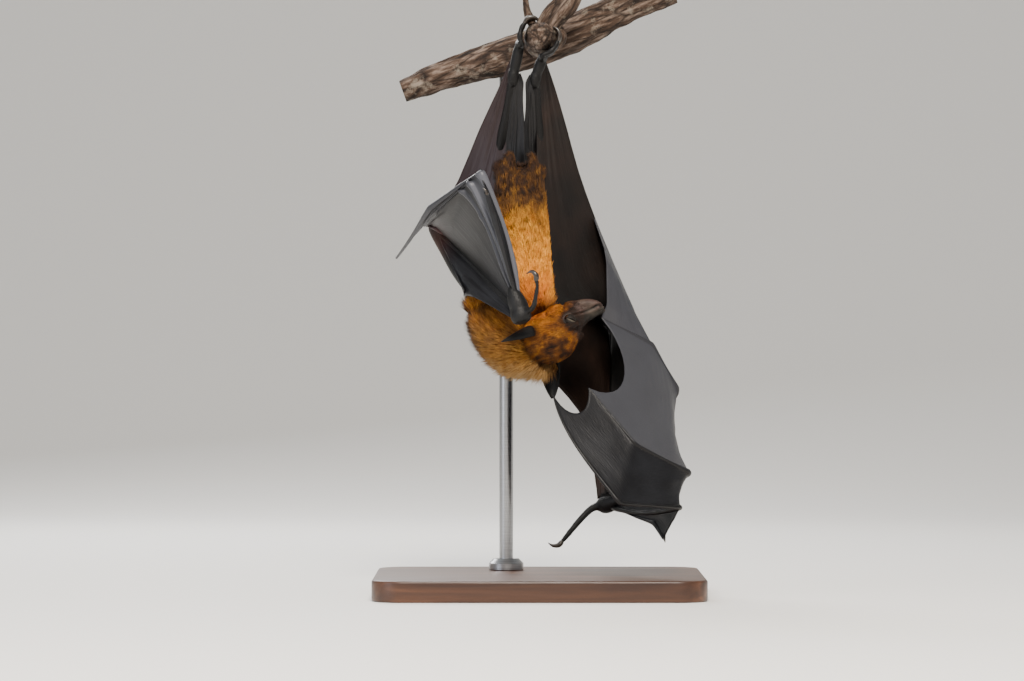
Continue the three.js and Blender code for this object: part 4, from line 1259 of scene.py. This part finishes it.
def eyelid(way):
    centre = eyeCentre(way)
    look, along, over = eyeAxes(way)
    s = np.linspace(0, 1, 16)[:, None]
    angle = np.linspace(0, 2 * math.pi, 49)[None, :]
    size = lidShape["radius"]
    wide = (lidShape["slitLength"] / size) * (1 - s) + lidShape["outer"] * s
    tall = (lidShape["slitHeight"] / size) * (1 - s) + lidShape["outer"] * s
    a, b = wide * np.cos(angle), tall * np.sin(angle) + 0.03 * (1 - s)
    ray = unit(look + along * a[..., None] + over * b[..., None])
    lift = 0.3 * bell(s - 0.1, 0.09) - 0.6 * s**3
    top = centre + ray * (size + lift)[..., None]
    under = centre + ray * np.where(s > 0, size - 0.7, size - 0.25)[..., None]
    part = twoSided(top, under, (muzzleSlot, muzzleSlot))
    if np.cross(top[0, 1] - top[0, 0], top[1, 0] - top[0, 0]) @ look > 0:
        part["faces"] = [tuple(reversed(face)) for face in part["faces"]]
    below = ramp(np.sin(angle) * np.sign(over @ headCrown), 0.1, 0.7)
    pale = np.broadcast_to(0.25 * bell(s - 0.12, 0.09) * below, a.shape).ravel()
    mark = np.stack([0 * pale, 0 * pale, pale], -1)
    part["mark"] = np.vstack([mark, mark])
    part["warm"] = np.full((len(part["points"]), 1), 0.8)
    return part


skinParts += [eyelid(1), eyelid(-1)]


def inside(points, part):
    # which points are inside a closed part
    tree = BVHTree.FromPolygons([tuple(p) for p in part["points"]], part["faces"])
    found = [tree.find_nearest(tuple(p)) for p in points]
    return np.array([(Vector(p) - near) @ normal < 0 for p, (near, normal, *_) in zip(points, found)])


# Heights over which the coat changes, each from none of the change to all of it, and places where it differs:
# on the body as x, y and z, and on the head as forward, left and crown.
coatHeights = {
    "longer": (280, 240),
    "raised": (275, 240),
    "rump": (304, 340),
    "belly": (268, 316),
    "thighs": (346, 356),
    "mantle": (262, 235),
    "low": (232, 200),
    "fringe": (207, 189),
}
bodySpots = {"throat": np.array([14, -22, 248]), "belly": np.array([-7, -12, 335]), "betweenThighs": -7}
headSpots = {"jaw": (27, 0, -3), "muzzle": (48, 0, -8), "farEar": (2, -20, 0), "nearEar": (5, 17, 4)}


def bodyCoat(points, normal, blotch, fine):
    # gold in front, dark down the back and over the rump, mottled on the mantle, cream at its lower fringe,
    # with painted shade between the thighs
    f, x, z = headPlace(points)[0], points[:, 0], points[:, 2]
    front = normal @ bodyFront
    back = ramp(front, 0.15, -0.45)
    mantle, low, fringe = (ramp(z, *coatHeights[zone]) for zone in ("mantle", "low", "fringe"))
    nearHead = np.maximum(ramp(away(points, head["centre"]), 52, 24), 0.6 * low)
    # painted shade in the parting between the thighs, where the coat is also shorter
    cleft = bell(x - bodySpots["betweenThighs"], 6) * ramp(z, *coatHeights["thighs"]) * ramp(
        front, -0.2, 0.2
    )
    throat = ramp(front, 0.0, 0.6) * bell(away(points, bodySpots["throat"]), 27)
    orange = np.clip(throat * 1.2 + 0.3 * blotch, 0, 1)
    dark = back * (0.9 - 0.45 * mantle)
    dark = dark + ramp(z + 14 * blotch, *coatHeights["rump"]) * (0.6 + 0.2 * fine)
    dark = dark + ramp(z + 12 * blotch, *coatHeights["belly"]) * (0.38 + 0.15 * fine)
    dark = np.clip(dark + mantle * (0.62 + 0.25 * blotch) * (1 - 0.75 * fringe), 0, 1)
    dark = np.maximum(dark, 0.95 * bell(away(points, bodySpots["belly"]), 10))
    cream = np.clip((0.2 * low + 1.0 * fringe) * (1 - back) * (0.9 + 0.4 * blotch), 0, 1)
    density = np.ones(len(points))
    density[(f > 4) & (away(points, onHead(*headSpots["jaw"])) < 24)] = 0
    density[(f > 30) & (away(points, onHead(*headSpots["muzzle"])) < 28)] = 0
    return {
        "flow": upright * (1 - 0.75 * low)[:, None] - headForward * (0.15 + 1.1 * nearHead)[:, None],
        "tilt": np.radians(10 + 10 * ramp(z, *coatHeights["raised"]) + 16 * low),
        "length": 8.0 + 4.5 * ramp(z, *coatHeights["longer"]) + 3.5 * low,
        "shorter": 0.6 * cleft,
        "density": density,
        "marks": [np.maximum(orange, mantle * (1 - low) * 0.4), np.maximum(dark, 0.97 * cleft), cream],
    }


def headCoat(points, normal, blotch, fine):
    # orange, darker on the crown and face, with painted shade in the eye sockets and round the root of the
    # near ear, and short towards the muzzle
    f, left, crown = headPlace(points)
    fromEyes = [away(points, eyeCentre(way)) for way in (1, -1)]
    socket = sum(bell(off, 8.5) for off in fromEyes)
    earFoot = bell(away(np.stack([f, np.abs(left), crown], -1), [11, 17, 2]), 6.5)
    face = ramp(f - 0.22 * (crown + 6), 24, 43)
    # painted shade in the eye sockets
    dark = face + 0.9 * socket
    dark = dark + (0.4 + 0.1 * blotch + 0.2 * fine) * ramp(crown, -1, 16) * (1 - 0.4 * ramp(f, 22, 31))
    dark = np.clip(dark + 0.1 + 0.32 * ramp(crown, -15, -3) + 0.15 * blotch + 0.25 * fine, 0, 1)
    density = ramp(f - 0.25 * (crown + 18), 47, 34)
    for off in fromEyes:
        density = density * ramp(off, 5.4, 6.8) * ramp(away(points, onHead(*headSpots["farEar"])), 0, 3)
    return {
        "flow": headCrown * 0.1 - headForward * 1.2 + np.where(f < -8, 1, 0)[:, None] * upright * 0.3,
        "tilt": np.radians(12 + 14 * ramp(f, 8, -14) + 10 * ramp(f, -8, -22)) + np.radians(20) * earFoot,
        "length": 1.6 + 3.6 * ramp(f, 40, 18) + 4.2 * ramp(f, 8, -18) + 5 * earFoot,
        "shorter": 0.55 * np.clip(socket * 1.3, 0, 1),
        "density": density,
        "marks": [
            np.clip(0.55 + 0.3 * blotch + 0.5 * ramp(crown, -4, -22) * ramp(f, 30, 0), 0, 1),
            # painted shade round the root of the near ear
            np.maximum(dark, 0.9 * bell(away(points, onHead(*headSpots["nearEar"])), 10)),
            np.clip(ramp(f, -4, -18) * 0.35 + 0.15 * blotch, 0, 1),
        ],
    }


def markCoat(part, coat, hidden):
    # how the coat grows at each point: its colour marks, the way it lies, its length and how dense it is
    points, normal = part["points"], facing(part)
    drift = np.stack([speckle(points, 13, k) for k in (1, 2, 3)], -1)
    blotch = speckle(points, 9, 6)
    grown = coat(points, normal, blotch, speckle(points, 3.2, 9))
    flow = grown["flow"] + drift * 0.35
    flow = unit(flow - normal * (flow * normal).sum(1)[:, None])
    tilt = grown["tilt"][:, None]
    length = grown["length"] * (1 + 0.16 * blotch) * (1 - grown["shorter"])
    part["lie"] = flow * np.cos(tilt) + normal * np.sin(tilt)
    part["coatLength"] = length[:, None] * mm
    part["coatDensity"] = np.where(inside(points, hidden), 0, grown["density"])[:, None]
    part["mark"] = np.stack(grown["marks"], -1)


markCoat(bodyCore, bodyCoat, faceSkin)
markCoat(faceSkin, headCoat, neckForm)
print("coat marked")

batSkin = meshFrom("batSkin", skinParts, [underFur, wingBack, wingUnder, limbHide, muzzleSkin])
print("skin made", sum(len(p.vertices) - 2 for p in batSkin.data.polygons))

# Coat: tapered locks of hair, scattered over the skin by one Geometry Nodes tree.
pieceTriangles = 185000  # the most that one piece of coat may have
coatLook = {
    "body": {"Density": 3.6e6, "Width": 0.00034, "Bend": 3.5, "Clump": 0.6, "Spread": 0.18, "Segments": 2},
    "head": {"Density": 4.8e6, "Width": 0.00029, "Bend": 2.5, "Clump": 0.35, "Spread": 0.12, "Segments": 2},
}


def furTree():
    # the tree that grows locks on a skin, with its sizes and seed as inputs
    tree = bpy.data.node_groups.new("scattered locks", "GeometryNodeTree")
    tree.interface.new_socket("Geometry", in_out="INPUT", socket_type="NodeSocketGeometry")
    for name in ("Density", "Width", "Bend", "Clump", "Spread", "Patch"):
        tree.interface.new_socket(name, in_out="INPUT", socket_type="NodeSocketFloat")
    for name in ("Segments", "Seed"):
        tree.interface.new_socket(name, in_out="INPUT", socket_type="NodeSocketInt")
    tree.interface.new_socket("Material", in_out="INPUT", socket_type="NodeSocketMaterial")
    tree.interface.new_socket("Geometry", in_out="OUTPUT", socket_type="NodeSocketGeometry")
    given = addNode(tree, "NodeGroupInput").outputs

    def made(kind, settings=None, links=None, out=0):
        return addNode(tree, kind, settings, links).outputs[out]

    def named(name, kind="FLOAT"):
        return made("GeometryNodeInputNamedAttribute", {"data_type": kind}, {"Name": name})

    def maths(operation, *values):
        return made("ShaderNodeMath", {"operation": operation}, dict(enumerate(values)))

    def vectors(operation, *values):
        return made("ShaderNodeVectorMath", {"operation": operation}, dict(enumerate(values)))

    def stored(geometry, name, value, kind="FLOAT", domain="POINT"):
        settings = {"data_type": kind, "domain": domain}
        return made(
            "GeometryNodeStoreNamedAttribute",
            settings,
            {"Geometry": geometry, "Name": name, "Value": value},
        )

    # one lock is a three-sided cone, one long, widest a third of the way up, and bent towards its own X
    cone = addNode(
        tree,
        "GeometryNodeMeshCone",
        {"fill_type": "NGON"},
        {
            "Vertices": 3,
            "Side Segments": given["Segments"],
            "Radius Top": 0.0,
            "Radius Bottom": 1.0,
            "Depth": 1.0,
        },
    )
    spot = made("GeometryNodeInputPosition")
    along = made("ShaderNodeSeparateXYZ", None, {0: spot}, 2)
    swell = made("ShaderNodeMapRange", None, {0: along, 1: 0.0, 2: 0.33, 3: 0.6, 4: 1.3})
    bend = maths("MULTIPLY", maths("POWER", along, 1.6), given["Bend"])
    lock = stored(cone.outputs[0], "along", along)
    lock = stored(lock, "lockUv", cone.outputs["UV Map"], "FLOAT_VECTOR", "CORNER")
    wide = vectors("MULTIPLY", spot, made("ShaderNodeCombineXYZ", None, {0: swell, 1: swell, 2: 1.0}))
    bent = vectors("ADD", wide, made("ShaderNodeCombineXYZ", None, {0: bend}))
    lock = made("GeometryNodeSetPosition", None, {"Geometry": lock, "Position": bent})

    # roots on the skin, each with its own shade
    density = maths("MULTIPLY", named("coatDensity"), given["Density"])
    links = {"Mesh": given["Geometry"], "Density": density, "Seed": given["Seed"]}
    roots = addNode(tree, "GeometryNodeDistributePointsOnFaces", None, links)
    shade = made("FunctionNodeRandomValue", None, {2: 0.0, 3: 1.0, "Seed": 3}, 1)
    points = stored(roots.outputs[0], "lock", shade)

    # each lock lies along the coat, a little scattered, and is as long as the coat is there
    bounds = {0: (-1, -1, -1), 1: (1, 1, 1), "Seed": 5}
    scatter = made("FunctionNodeRandomValue", {"data_type": "FLOAT_VECTOR"}, bounds)
    loose = vectors("MULTIPLY", scatter, given["Spread"])
    drift = made("ShaderNodeTexNoise", None, {"Vector": spot, "Scale": 260.0, "Detail": 1.0}, 1)
    clump = vectors("MULTIPLY", vectors("SUBTRACT", drift, (0.5, 0.5, 0.5)), given["Clump"])
    way = vectors("ADD", vectors("ADD", named("lie", "FLOAT_VECTOR"), clump), loose)
    stood = made("FunctionNodeAlignRotationToVector", {"axis": "Z"}, {"Vector": way})
    inward = vectors("MULTIPLY", roots.outputs["Normal"], (-1, -1, -1))
    settings = {"axis": "X", "pivot_axis": "Z"}
    rolled = made("FunctionNodeAlignRotationToVector", settings, {"Rotation": stood, "Vector": inward})
    length = named("coatLength")
    uneven = made("FunctionNodeRandomValue", None, {2: 0.65, 3: 1.3, "Seed": 9}, 1)
    tall = maths("MULTIPLY", length, uneven)
    share = made("ShaderNodeMapRange", None, {0: length, 1: 0.002, 2: 0.012, 3: 0.6, 4: 1.2})
    thin = maths("MULTIPLY", given["Width"], share)
    size = made("ShaderNodeCombineXYZ", None, {0: thin, 1: thin, 2: tall})
    links = {"Points": points, "Instance": lock, "Rotation": rolled, "Scale": size}
    coat = made("GeometryNodeInstanceOnPoints", None, links)
    whole = made("GeometryNodeRealizeInstances", None, {"Geometry": coat})

    # each lock's patch lies at its root's place on the unwrap of the skin
    patch = vectors("MULTIPLY", named("lockUv", "FLOAT_VECTOR"), given["Patch"])
    unwrapped = vectors("ADD", named("rootUv", "FLOAT_VECTOR"), patch)
    whole = stored(whole, "OFBake", unwrapped, "FLOAT2", "CORNER")
    for name in ("grain", "warm", "lie", "coatLength", "coatDensity", "rootUv", "lockUv"):
        whole = made("GeometryNodeRemoveAttribute", None, {"Geometry": whole, "Name": name})
    whole = made("GeometryNodeSetShadeSmooth", None, {"Geometry": whole, "Shade Smooth": True})
    whole = made("GeometryNodeSetMaterial", None, {"Geometry": whole, "Material": given["Material"]})
    addNode(tree, "NodeGroupOutput", None, {"Geometry": whole})
    return tree


coatTree = furTree()
socketId = {item.name: item.identifier for item in coatTree.interface.items_tree if item.in_out == "INPUT"}


def aroundHead(points):
    # how far round the head a point is, and how far along it from 0 to 1
    f, left, crown = headPlace(points)
    return np.arctan2(left, crown), (f + 35) / 105


def aroundBody(points):
    # how far round the body a point is, and how far up it from 0 to 1
    off = points - np.array([-9.0, 8, 0])
    return np.arctan2(off @ bodyLeft, off @ bodyFront), (points[:, 2] - 175) / 235


def growCoat(name, part, look, unwrap, lengthwise, seed):
    # splits the skin into bands of about the same number of locks, and grows each band as a piece of its own
    turn, along = unwrap(part["points"])
    margin, inner = 0.01, 0.98
    across = margin + inner * (turn / (2 * math.pi) + 0.5)
    part["rootUv"] = np.stack([across, margin + inner * np.clip(along, 0, 1), 0 * turn], -1)
    faces = np.array([face for face in part["faces"] if len(face) == 4])
    points = part["points"]
    corner = points[faces]
    cross = np.cross(corner[:, 2] - corner[:, 0], corner[:, 3] - corner[:, 1])
    area = np.linalg.norm(cross, axis=1) / 2 * mm * mm
    weight = area * part["coatDensity"][faces].mean(1)[:, 0] * look["Density"]
    order = np.argsort(lengthwise(corner.mean(1)))
    total = np.cumsum(weight[order])
    lockTriangles = 6 * look["Segments"] - 2
    bands = math.ceil(total[-1] * lockTriangles / pieceTriangles)
    for band in range(bands):
        chosen = order[(total > total[-1] * band / bands) & (total <= total[-1] * (band + 1) / bands)]
        used, index = np.unique(faces[chosen], return_inverse=True)
        patch = {"points": points[used], "faces": index.reshape(-1, 4).tolist()}
        for key in skinValues:
            if key in part:
                patch[key] = np.asarray(part[key])[used]
        emitter = meshFrom("roots", [patch])
        grown = emitter.modifiers.new("coat", "NODES")
        grown.node_group = coatTree
        values = {**look, "Patch": 0.003, "Seed": seed + band, "Material": coatFur}
        for key, value in values.items():
            grown[socketId[key]] = value
        mesh = bpy.data.meshes.new_from_object(emitter.evaluated_get(bpy.context.evaluated_depsgraph_get()))
        bpy.data.objects.remove(emitter)
        piece = bpy.data.objects.new(f"{name}{band + 1}", mesh)
        bpy.context.scene.collection.objects.link(piece)
        place(piece, "coat")
        print("coat", piece.name, sum(len(p.vertices) - 2 for p in mesh.polygons))


growCoat("coatBody", bodyCore, coatLook["body"], aroundBody, lambda spots: spots[:, 2], 11)
growCoat("coatHead", faceSkin, coatLook["head"], aroundHead, lambda spots: headPlace(spots)[0], 31)
print("coat grown")

# The one skin stands for every part of the bat's flesh.
flesh = ["trunk", "neck", "head", "ear_left", "ear_right"]
for side in ("left", "right"):
    flesh += [f"foot_{side}", f"shank_{side}", f"thigh_{side}", f"leg_membrane_{side}"]
    for piece in ("palm", "thumb", "forearm", "upper_arm", "fingers", "front_membrane", "side_membrane"):
        flesh.append(f"wing_{side}_{piece}")
place(batSkin, "skin", *flesh)

# Eyes: wet balls behind the lids, marked from 0 in the middle of the pupil to 1 at this angle in radians.
irisEdge = 0.85


def eyeBall(way):
    centre = eyeCentre(way)
    look, along, over = eyeAxes(way)
    turns = np.linspace(0, 2 * math.pi, 40, endpoint=False)
    turn, rise = np.meshgrid(turns, np.linspace(0.04, math.pi - 0.04, 40))
    rings = (
        look * np.cos(rise)[..., None]
        + along * (np.sin(rise) * np.cos(turn))[..., None]
        + over * (np.sin(rise) * np.sin(turn))[..., None]
    )
    part = capped(centre + rings[::-1] * eyeSize["radius"])
    off = np.arccos(np.clip(unit(part["points"] - centre) @ look, -1, 1))
    part["warm"] = np.clip(off / irisEdge, 0, 1)[:, None]
    return part


for side, way in (("left", 1), ("right", -1)):
    place(meshFrom("eyeBall" + side.title(), [eyeBall(way)], [wetEye]), "eye", f"eye_{side}")

# Claws: curved horn, deepest at the root.
clawLook = {
    "toe": {"swing": (66, 84, 101, 116), "off": (3.6, 4.6, 3.4, 1.2), "radii": [2.1, 1.9, 1.3, 0.35]},
    "thumb": {"length": 15, "sunk": 2.5, "radii": [2.8, 2.24, 1.4, 0.4]},
    "index": {"length": 7, "sunk": 2, "radii": [1.7, 1.3, 0.9, 0.3]},
}


def claw(name, points, radii, node):
    part = limb(points, radii, 14, 26)
    place(meshFrom(name, [part], [horn]), "claw", node)


for side in ("left", "right"):
    start, turn = footSide[side]["start"], footSide[side]["turn"]
    look = clawLook["toe"]
    for i, y in enumerate(toePlaces(side)):
        points = [onStub(start + turn * swing, y, off) for swing, off in zip(look["swing"], look["off"])]
        claw(f"toeClaw{side.title()}{i + 1}", points, look["radii"], f"foot_claw_{side}_{i + 1}")
    turn, rise = pose[side]["index"][1]
    bends = {"thumb": pose[side]["thumbClaw"], "index": [(turn, rise), (turn, rise - 30)]}
    for finger, ways in bends.items():
        look = clawLook[finger]
        _, knuckle, tip = joints[side][finger]
        root = tip - unit(tip - knuckle) * look["sunk"]
        points = chainOf(root, [look["length"] / forearm / len(ways)] * len(ways), ways)
        claw(f"{finger}Claw{side.title()}", points, look["radii"], f"wing_{side}_{finger}_claw")
print("eyes and claws made")

# Perch: a sawn length of branch with a knotted side branch that the bat holds.
perchLook = {
    "middle": np.array([6.0, 74.0, 475.0]),
    "turn": (0, 20),
    "length": 250,  # between the sawn ends
    "drawn": 270,  # before it is sawn
    "thick": 15.5,
    "topCut": 513,
    "grip": 13.0,
    "lumps": 0.9,
    "furrows": 0.75,
    "stretch": 0.22,
    "voxel": 1.1,
}


def perchParts():
    # the log, the side branch that the bat holds, a burl on it, a cut stub and a twig, each as (line, half
    # widths, rings)
    look = perchLook
    x, y, z = look["middle"]
    along = heading(*look["turn"])
    bends = [(0, 0), (3, 2), (-3, -2), (2, -3), (-2, 3), (0, 0)]
    log = []
    for i, (dy, dz) in enumerate(bends):
        log.append(look["middle"] + along * (i / 5 - 0.5) * look["drawn"] + [0, dy, dz])
    grip = [[x, y, z], [x + 1, 44, z - 2], [x, 12, z], [x, -19, z]]
    burl = [[x + 8, 34, z - 8], [x + 12, 30, z + 2], [x + 10, 26, z + 10]]
    cutStub = [[x + 2, 26, z + 2], [x + 12, 24, z + 18], [x + 24, 22, z + 30], [x + 34, 20, z + 46]]
    twig = [[x - 4, 16, z + 8], [x - 10, 14, z + 22], [x - 11, 12, z + 36]]
    return [
        (log, [look["thick"] * s for s in (0.85, 0.92, 1.05, 1.08, 0.95, 0.88)], 60),
        (grip, [look["grip"] * s for s in (1.3, 1.05, 1, 1, 0.9)], 40),
        (burl, [8, 12, 9], 20),
        (cutStub, [12, 11, 10.5, 10.5], 24),
        (twig, [4.5, 3.6, 3], 24),
    ]


def perchBranch():
    # the branches as one rough skin of bark
    look = perchLook
    limbs = perchParts()
    part = remeshed([limb(line, radii, 24, rings) for line, radii, rings in limbs], look["voxel"], 3)
    points = part["points"]
    # the bark's own grain runs along the nearest branch
    best, grain = np.full(len(points), 1e9), np.zeros((len(points), 3))
    for number, (line, radii, rings) in enumerate(limbs):
        line = np.asarray(line, float)
        ends = np.linspace(0, 1, 30)
        centre = spline(line)(ends)
        off = np.linalg.norm(points[:, None] - centre[None], axis=2)
        near = off.argmin(1)
        gap = off.min(1) - spline([[r] for r in radii])(ends)[near, 0]
        run = unit(line[-1] - line[0])
        across = unit(np.cross(run, upright if abs(run[2]) < 0.8 else [1.0, 0, 0]))
        axes = np.stack([across, np.cross(run, across), run * look["stretch"]], 1)
        closer = gap < best
        best[closer] = gap[closer]
        grain[closer] = (points @ axes)[closer] + number * 31.0  # so that no two branches share a pattern
    normal = facing(part)
    relief = look["furrows"] * (speckle(grain, 3.2, 2) + 0.6 * speckle(grain, 1.6, 5))
    relief = relief + look["lumps"] * speckle(points, 11, 8)
    part["points"] = points + normal * relief[:, None]
    part["grain"] = grain
    return meshFrom("perchBranch", [part], [bark, sawnWood])


def saw(thing, spot, out):
    # cuts the branch flat and closes the cut with end grain
    shape = bmesh.new()
    shape.from_mesh(thing.data)
    whole = shape.verts[:] + shape.edges[:] + shape.faces[:]
    spot, out = Vector(np.asarray(spot, float) * mm), Vector(out)
    cut = bmesh.ops.bisect_plane(
        shape, geom=whole, plane_co=spot, plane_no=out, clear_outer=True, dist=1e-7
    )
    rim = [e for e in cut["geom_cut"] if isinstance(e, bmesh.types.BMEdge)]
    lid = bmesh.ops.holes_fill(shape, edges=rim)["faces"]
    layer = shape.verts.layers.float_vector["grain"]
    across = out.orthogonal().normalized()
    for face in bmesh.ops.inset_region(shape, faces=lid, thickness=0.0006, use_even_offset=True)["faces"]:
        face.material_index = 1
    for face in lid:
        face.material_index = 1
        centre = face.calc_center_median()
        for vertex in face.verts:
            off = (vertex.co - centre) / mm
            vertex[layer] = Vector((off @ across, off @ out.cross(across), 0))
    shape.to_mesh(thing.data)
    shape.free()


branch = perchBranch()
logRun = heading(*perchLook["turn"])
for way in (1, -1):
    saw(branch, perchLook["middle"] + logRun * way * perchLook["length"] / 2, logRun * way)
saw(branch, [0, 0, perchLook["topCut"]], upright)
place(branch, "bark", "perch")
print("perch made", len(branch.data.polygons))

# Display stand: a walnut base, a steel rod up to the perch and a collar round the rod's foot.
standLook = {
    "middle": (6, 20),
    "size": (280, 226, 18),
    "corner": 26,
    "edge": 2,
    "rod": {"place": (-22, 78), "radius": 6, "low": 5, "high": 470.8},  # it ends inside the branch
    "collar": {"radius": 15, "inner": 6.3, "low": 18.3, "high": 28, "slope": 4, "lip": 0.4},
}


def turned(name, outline, spot, slotName, node, sides=96):
    # a round steel piece from an outline of (radius, height) from axis to axis, or one that closes on itself
    angle = np.linspace(0, 2 * math.pi, sides, endpoint=False)
    ring = np.stack([np.cos(angle), np.sin(angle), 0 * angle], -1)
    rings = np.array([ring * r + [*spot, z] for r, z in outline])
    if outline[0][0] < 0.1:
        shape = capped(rings)
    else:
        shape = {"points": rings.reshape(-1, 3), "faces": gridFaces(len(rings), sides, True)}
        last = (len(rings) - 1) * sides
        shape["faces"] += [(last + c, last + (c + 1) % sides, (c + 1) % sides, c) for c in range(sides)]
    thing = meshFrom(name, [shape], [steel])
    crisp(thing)
    place(thing, slotName, node)


def crisp(thing, angle=30):
    # keeps the sharp edges of a turned or planed piece crisp
    thing.data.set_sharp_from_angle(angle=math.radians(angle))


def roundedBase():
    # a board with rounded corners and a small round on its edges
    look = standLook
    wide, deep, tall = look["size"]
    corner, edge = look["corner"], look["edge"]
    angle = np.linspace(0, 2 * math.pi, 96, endpoint=False) + math.pi / 96
    outward = np.stack([np.cos(angle), np.sin(angle)], -1)
    middle = np.sign(outward) * [wide / 2 - corner, deep / 2 - corner]
    steps = [(edge * (1 - math.sin(a)), edge * (1 - math.cos(a))) for a in np.linspace(0, math.pi / 2, 6)]
    profile = [(inset, z) for inset, z in steps] + [(inset, tall - z) for inset, z in reversed(steps)]
    rings = []
    for inset, z in profile:
        flat = middle + outward * (corner - inset) + look["middle"]
        rings.append(np.column_stack([flat, np.full(len(flat), z)]))
    thing = meshFrom("standBase", [capped(rings)], [walnut])
    crisp(thing)
    place(thing, "stand_wood", "stand_base")


roundedBase()
rod, collar = standLook["rod"], standLook["collar"]
r, low, high = rod["radius"], rod["low"], rod["high"]
outline = [(0.05, low), (r, low), (r, high), (0.05, high)]
turned("standRod", outline, rod["place"], "stand_steel", "stand_rod")
r, inner, lip, slope = collar["radius"], collar["inner"], collar["lip"], collar["slope"]
low, high = collar["low"], collar["high"]
outline = [
    (inner, low), (r - lip, low), (r, low + lip), (r, high - slope), (r - slope, high), (inner, high)
]
turned("standCollar", outline, rod["place"], "stand_steel", "stand_collar")
print("stand made")

# Stage: a pale floor that curves up behind, a large soft key light high in front, a fill and a rim light.
paleFloor, tree, shader, given = newMaterial(
    "matt pale studio floor", {"Roughness": 0.85, "Base Color": "#f2f0ec"}
)
stageLook = {"near": -6000, "flat": 1500, "curve": 2500, "tall": 9000, "halfWidth": 9000}
flat, curve = stageLook["flat"], stageLook["curve"]
bend = [(flat + curve * math.sin(a), curve - curve * math.cos(a)) for a in np.linspace(0.05, 1.57, 24)]
sweep = [(stageLook["near"], 0), (flat, 0), *bend, (flat + curve, stageLook["tall"])]
sweepPoints = np.array([[way * stageLook["halfWidth"], y, z] for y, z in sweep for way in (-1, 1)])
sweepFaces = [(2 * i, 2 * i + 1, 2 * i + 3, 2 * i + 2) for i in range(len(sweep) - 1)]
floor = meshFrom("floor", [{"points": sweepPoints, "faces": sweepFaces}], [paleFloor])


def areaLight(name, spot, size, watts, code="#ffffff"):
    # a round soft light at a spot in metres, turned to the bat
    lamp = bpy.data.lights.new(name, "AREA")
    lamp.shape, lamp.size, lamp.energy = "DISK", size, watts
    lamp.color = linearColour(code)[:3]
    thing = bpy.data.objects.new(name, lamp)
    thing.location = spot
    thing.rotation_euler = (Vector((0, 0, 0.26)) - Vector(spot)).to_track_quat("-Z", "Y").to_euler()
    bpy.context.scene.collection.objects.link(thing)


areaLight("keyLight", (0.1, -1.7, 1.8), 0.7, 105, "#fff6ea")
areaLight("fillLight", (-1.6, -1.2, 0.7), 1.2, 14, "#eaf1ff")
areaLight("rimLight", (-0.5, 1.3, 1.2), 1.1, 30)
world = bpy.data.worlds.new("paleStudio")
bpy.context.scene.world = world
world.use_nodes = True
sky = world.node_tree.nodes["Background"].inputs
sky["Color"].default_value = linearColour("#e4e6e8")
sky["Strength"].default_value = 0.55

lens = bpy.data.cameras.new("camera")
lens.lens, lens.sensor_width = 145, 36
lens.clip_start, lens.clip_end = 0.1, 60
camera = bpy.data.objects.new("camera", lens)
camera.location, camera.rotation_euler = (-0.017, -3.5, 0.217), (math.radians(90), 0, 0)
bpy.context.scene.collection.objects.link(camera)
bpy.context.scene.camera = camera

print("stage made")
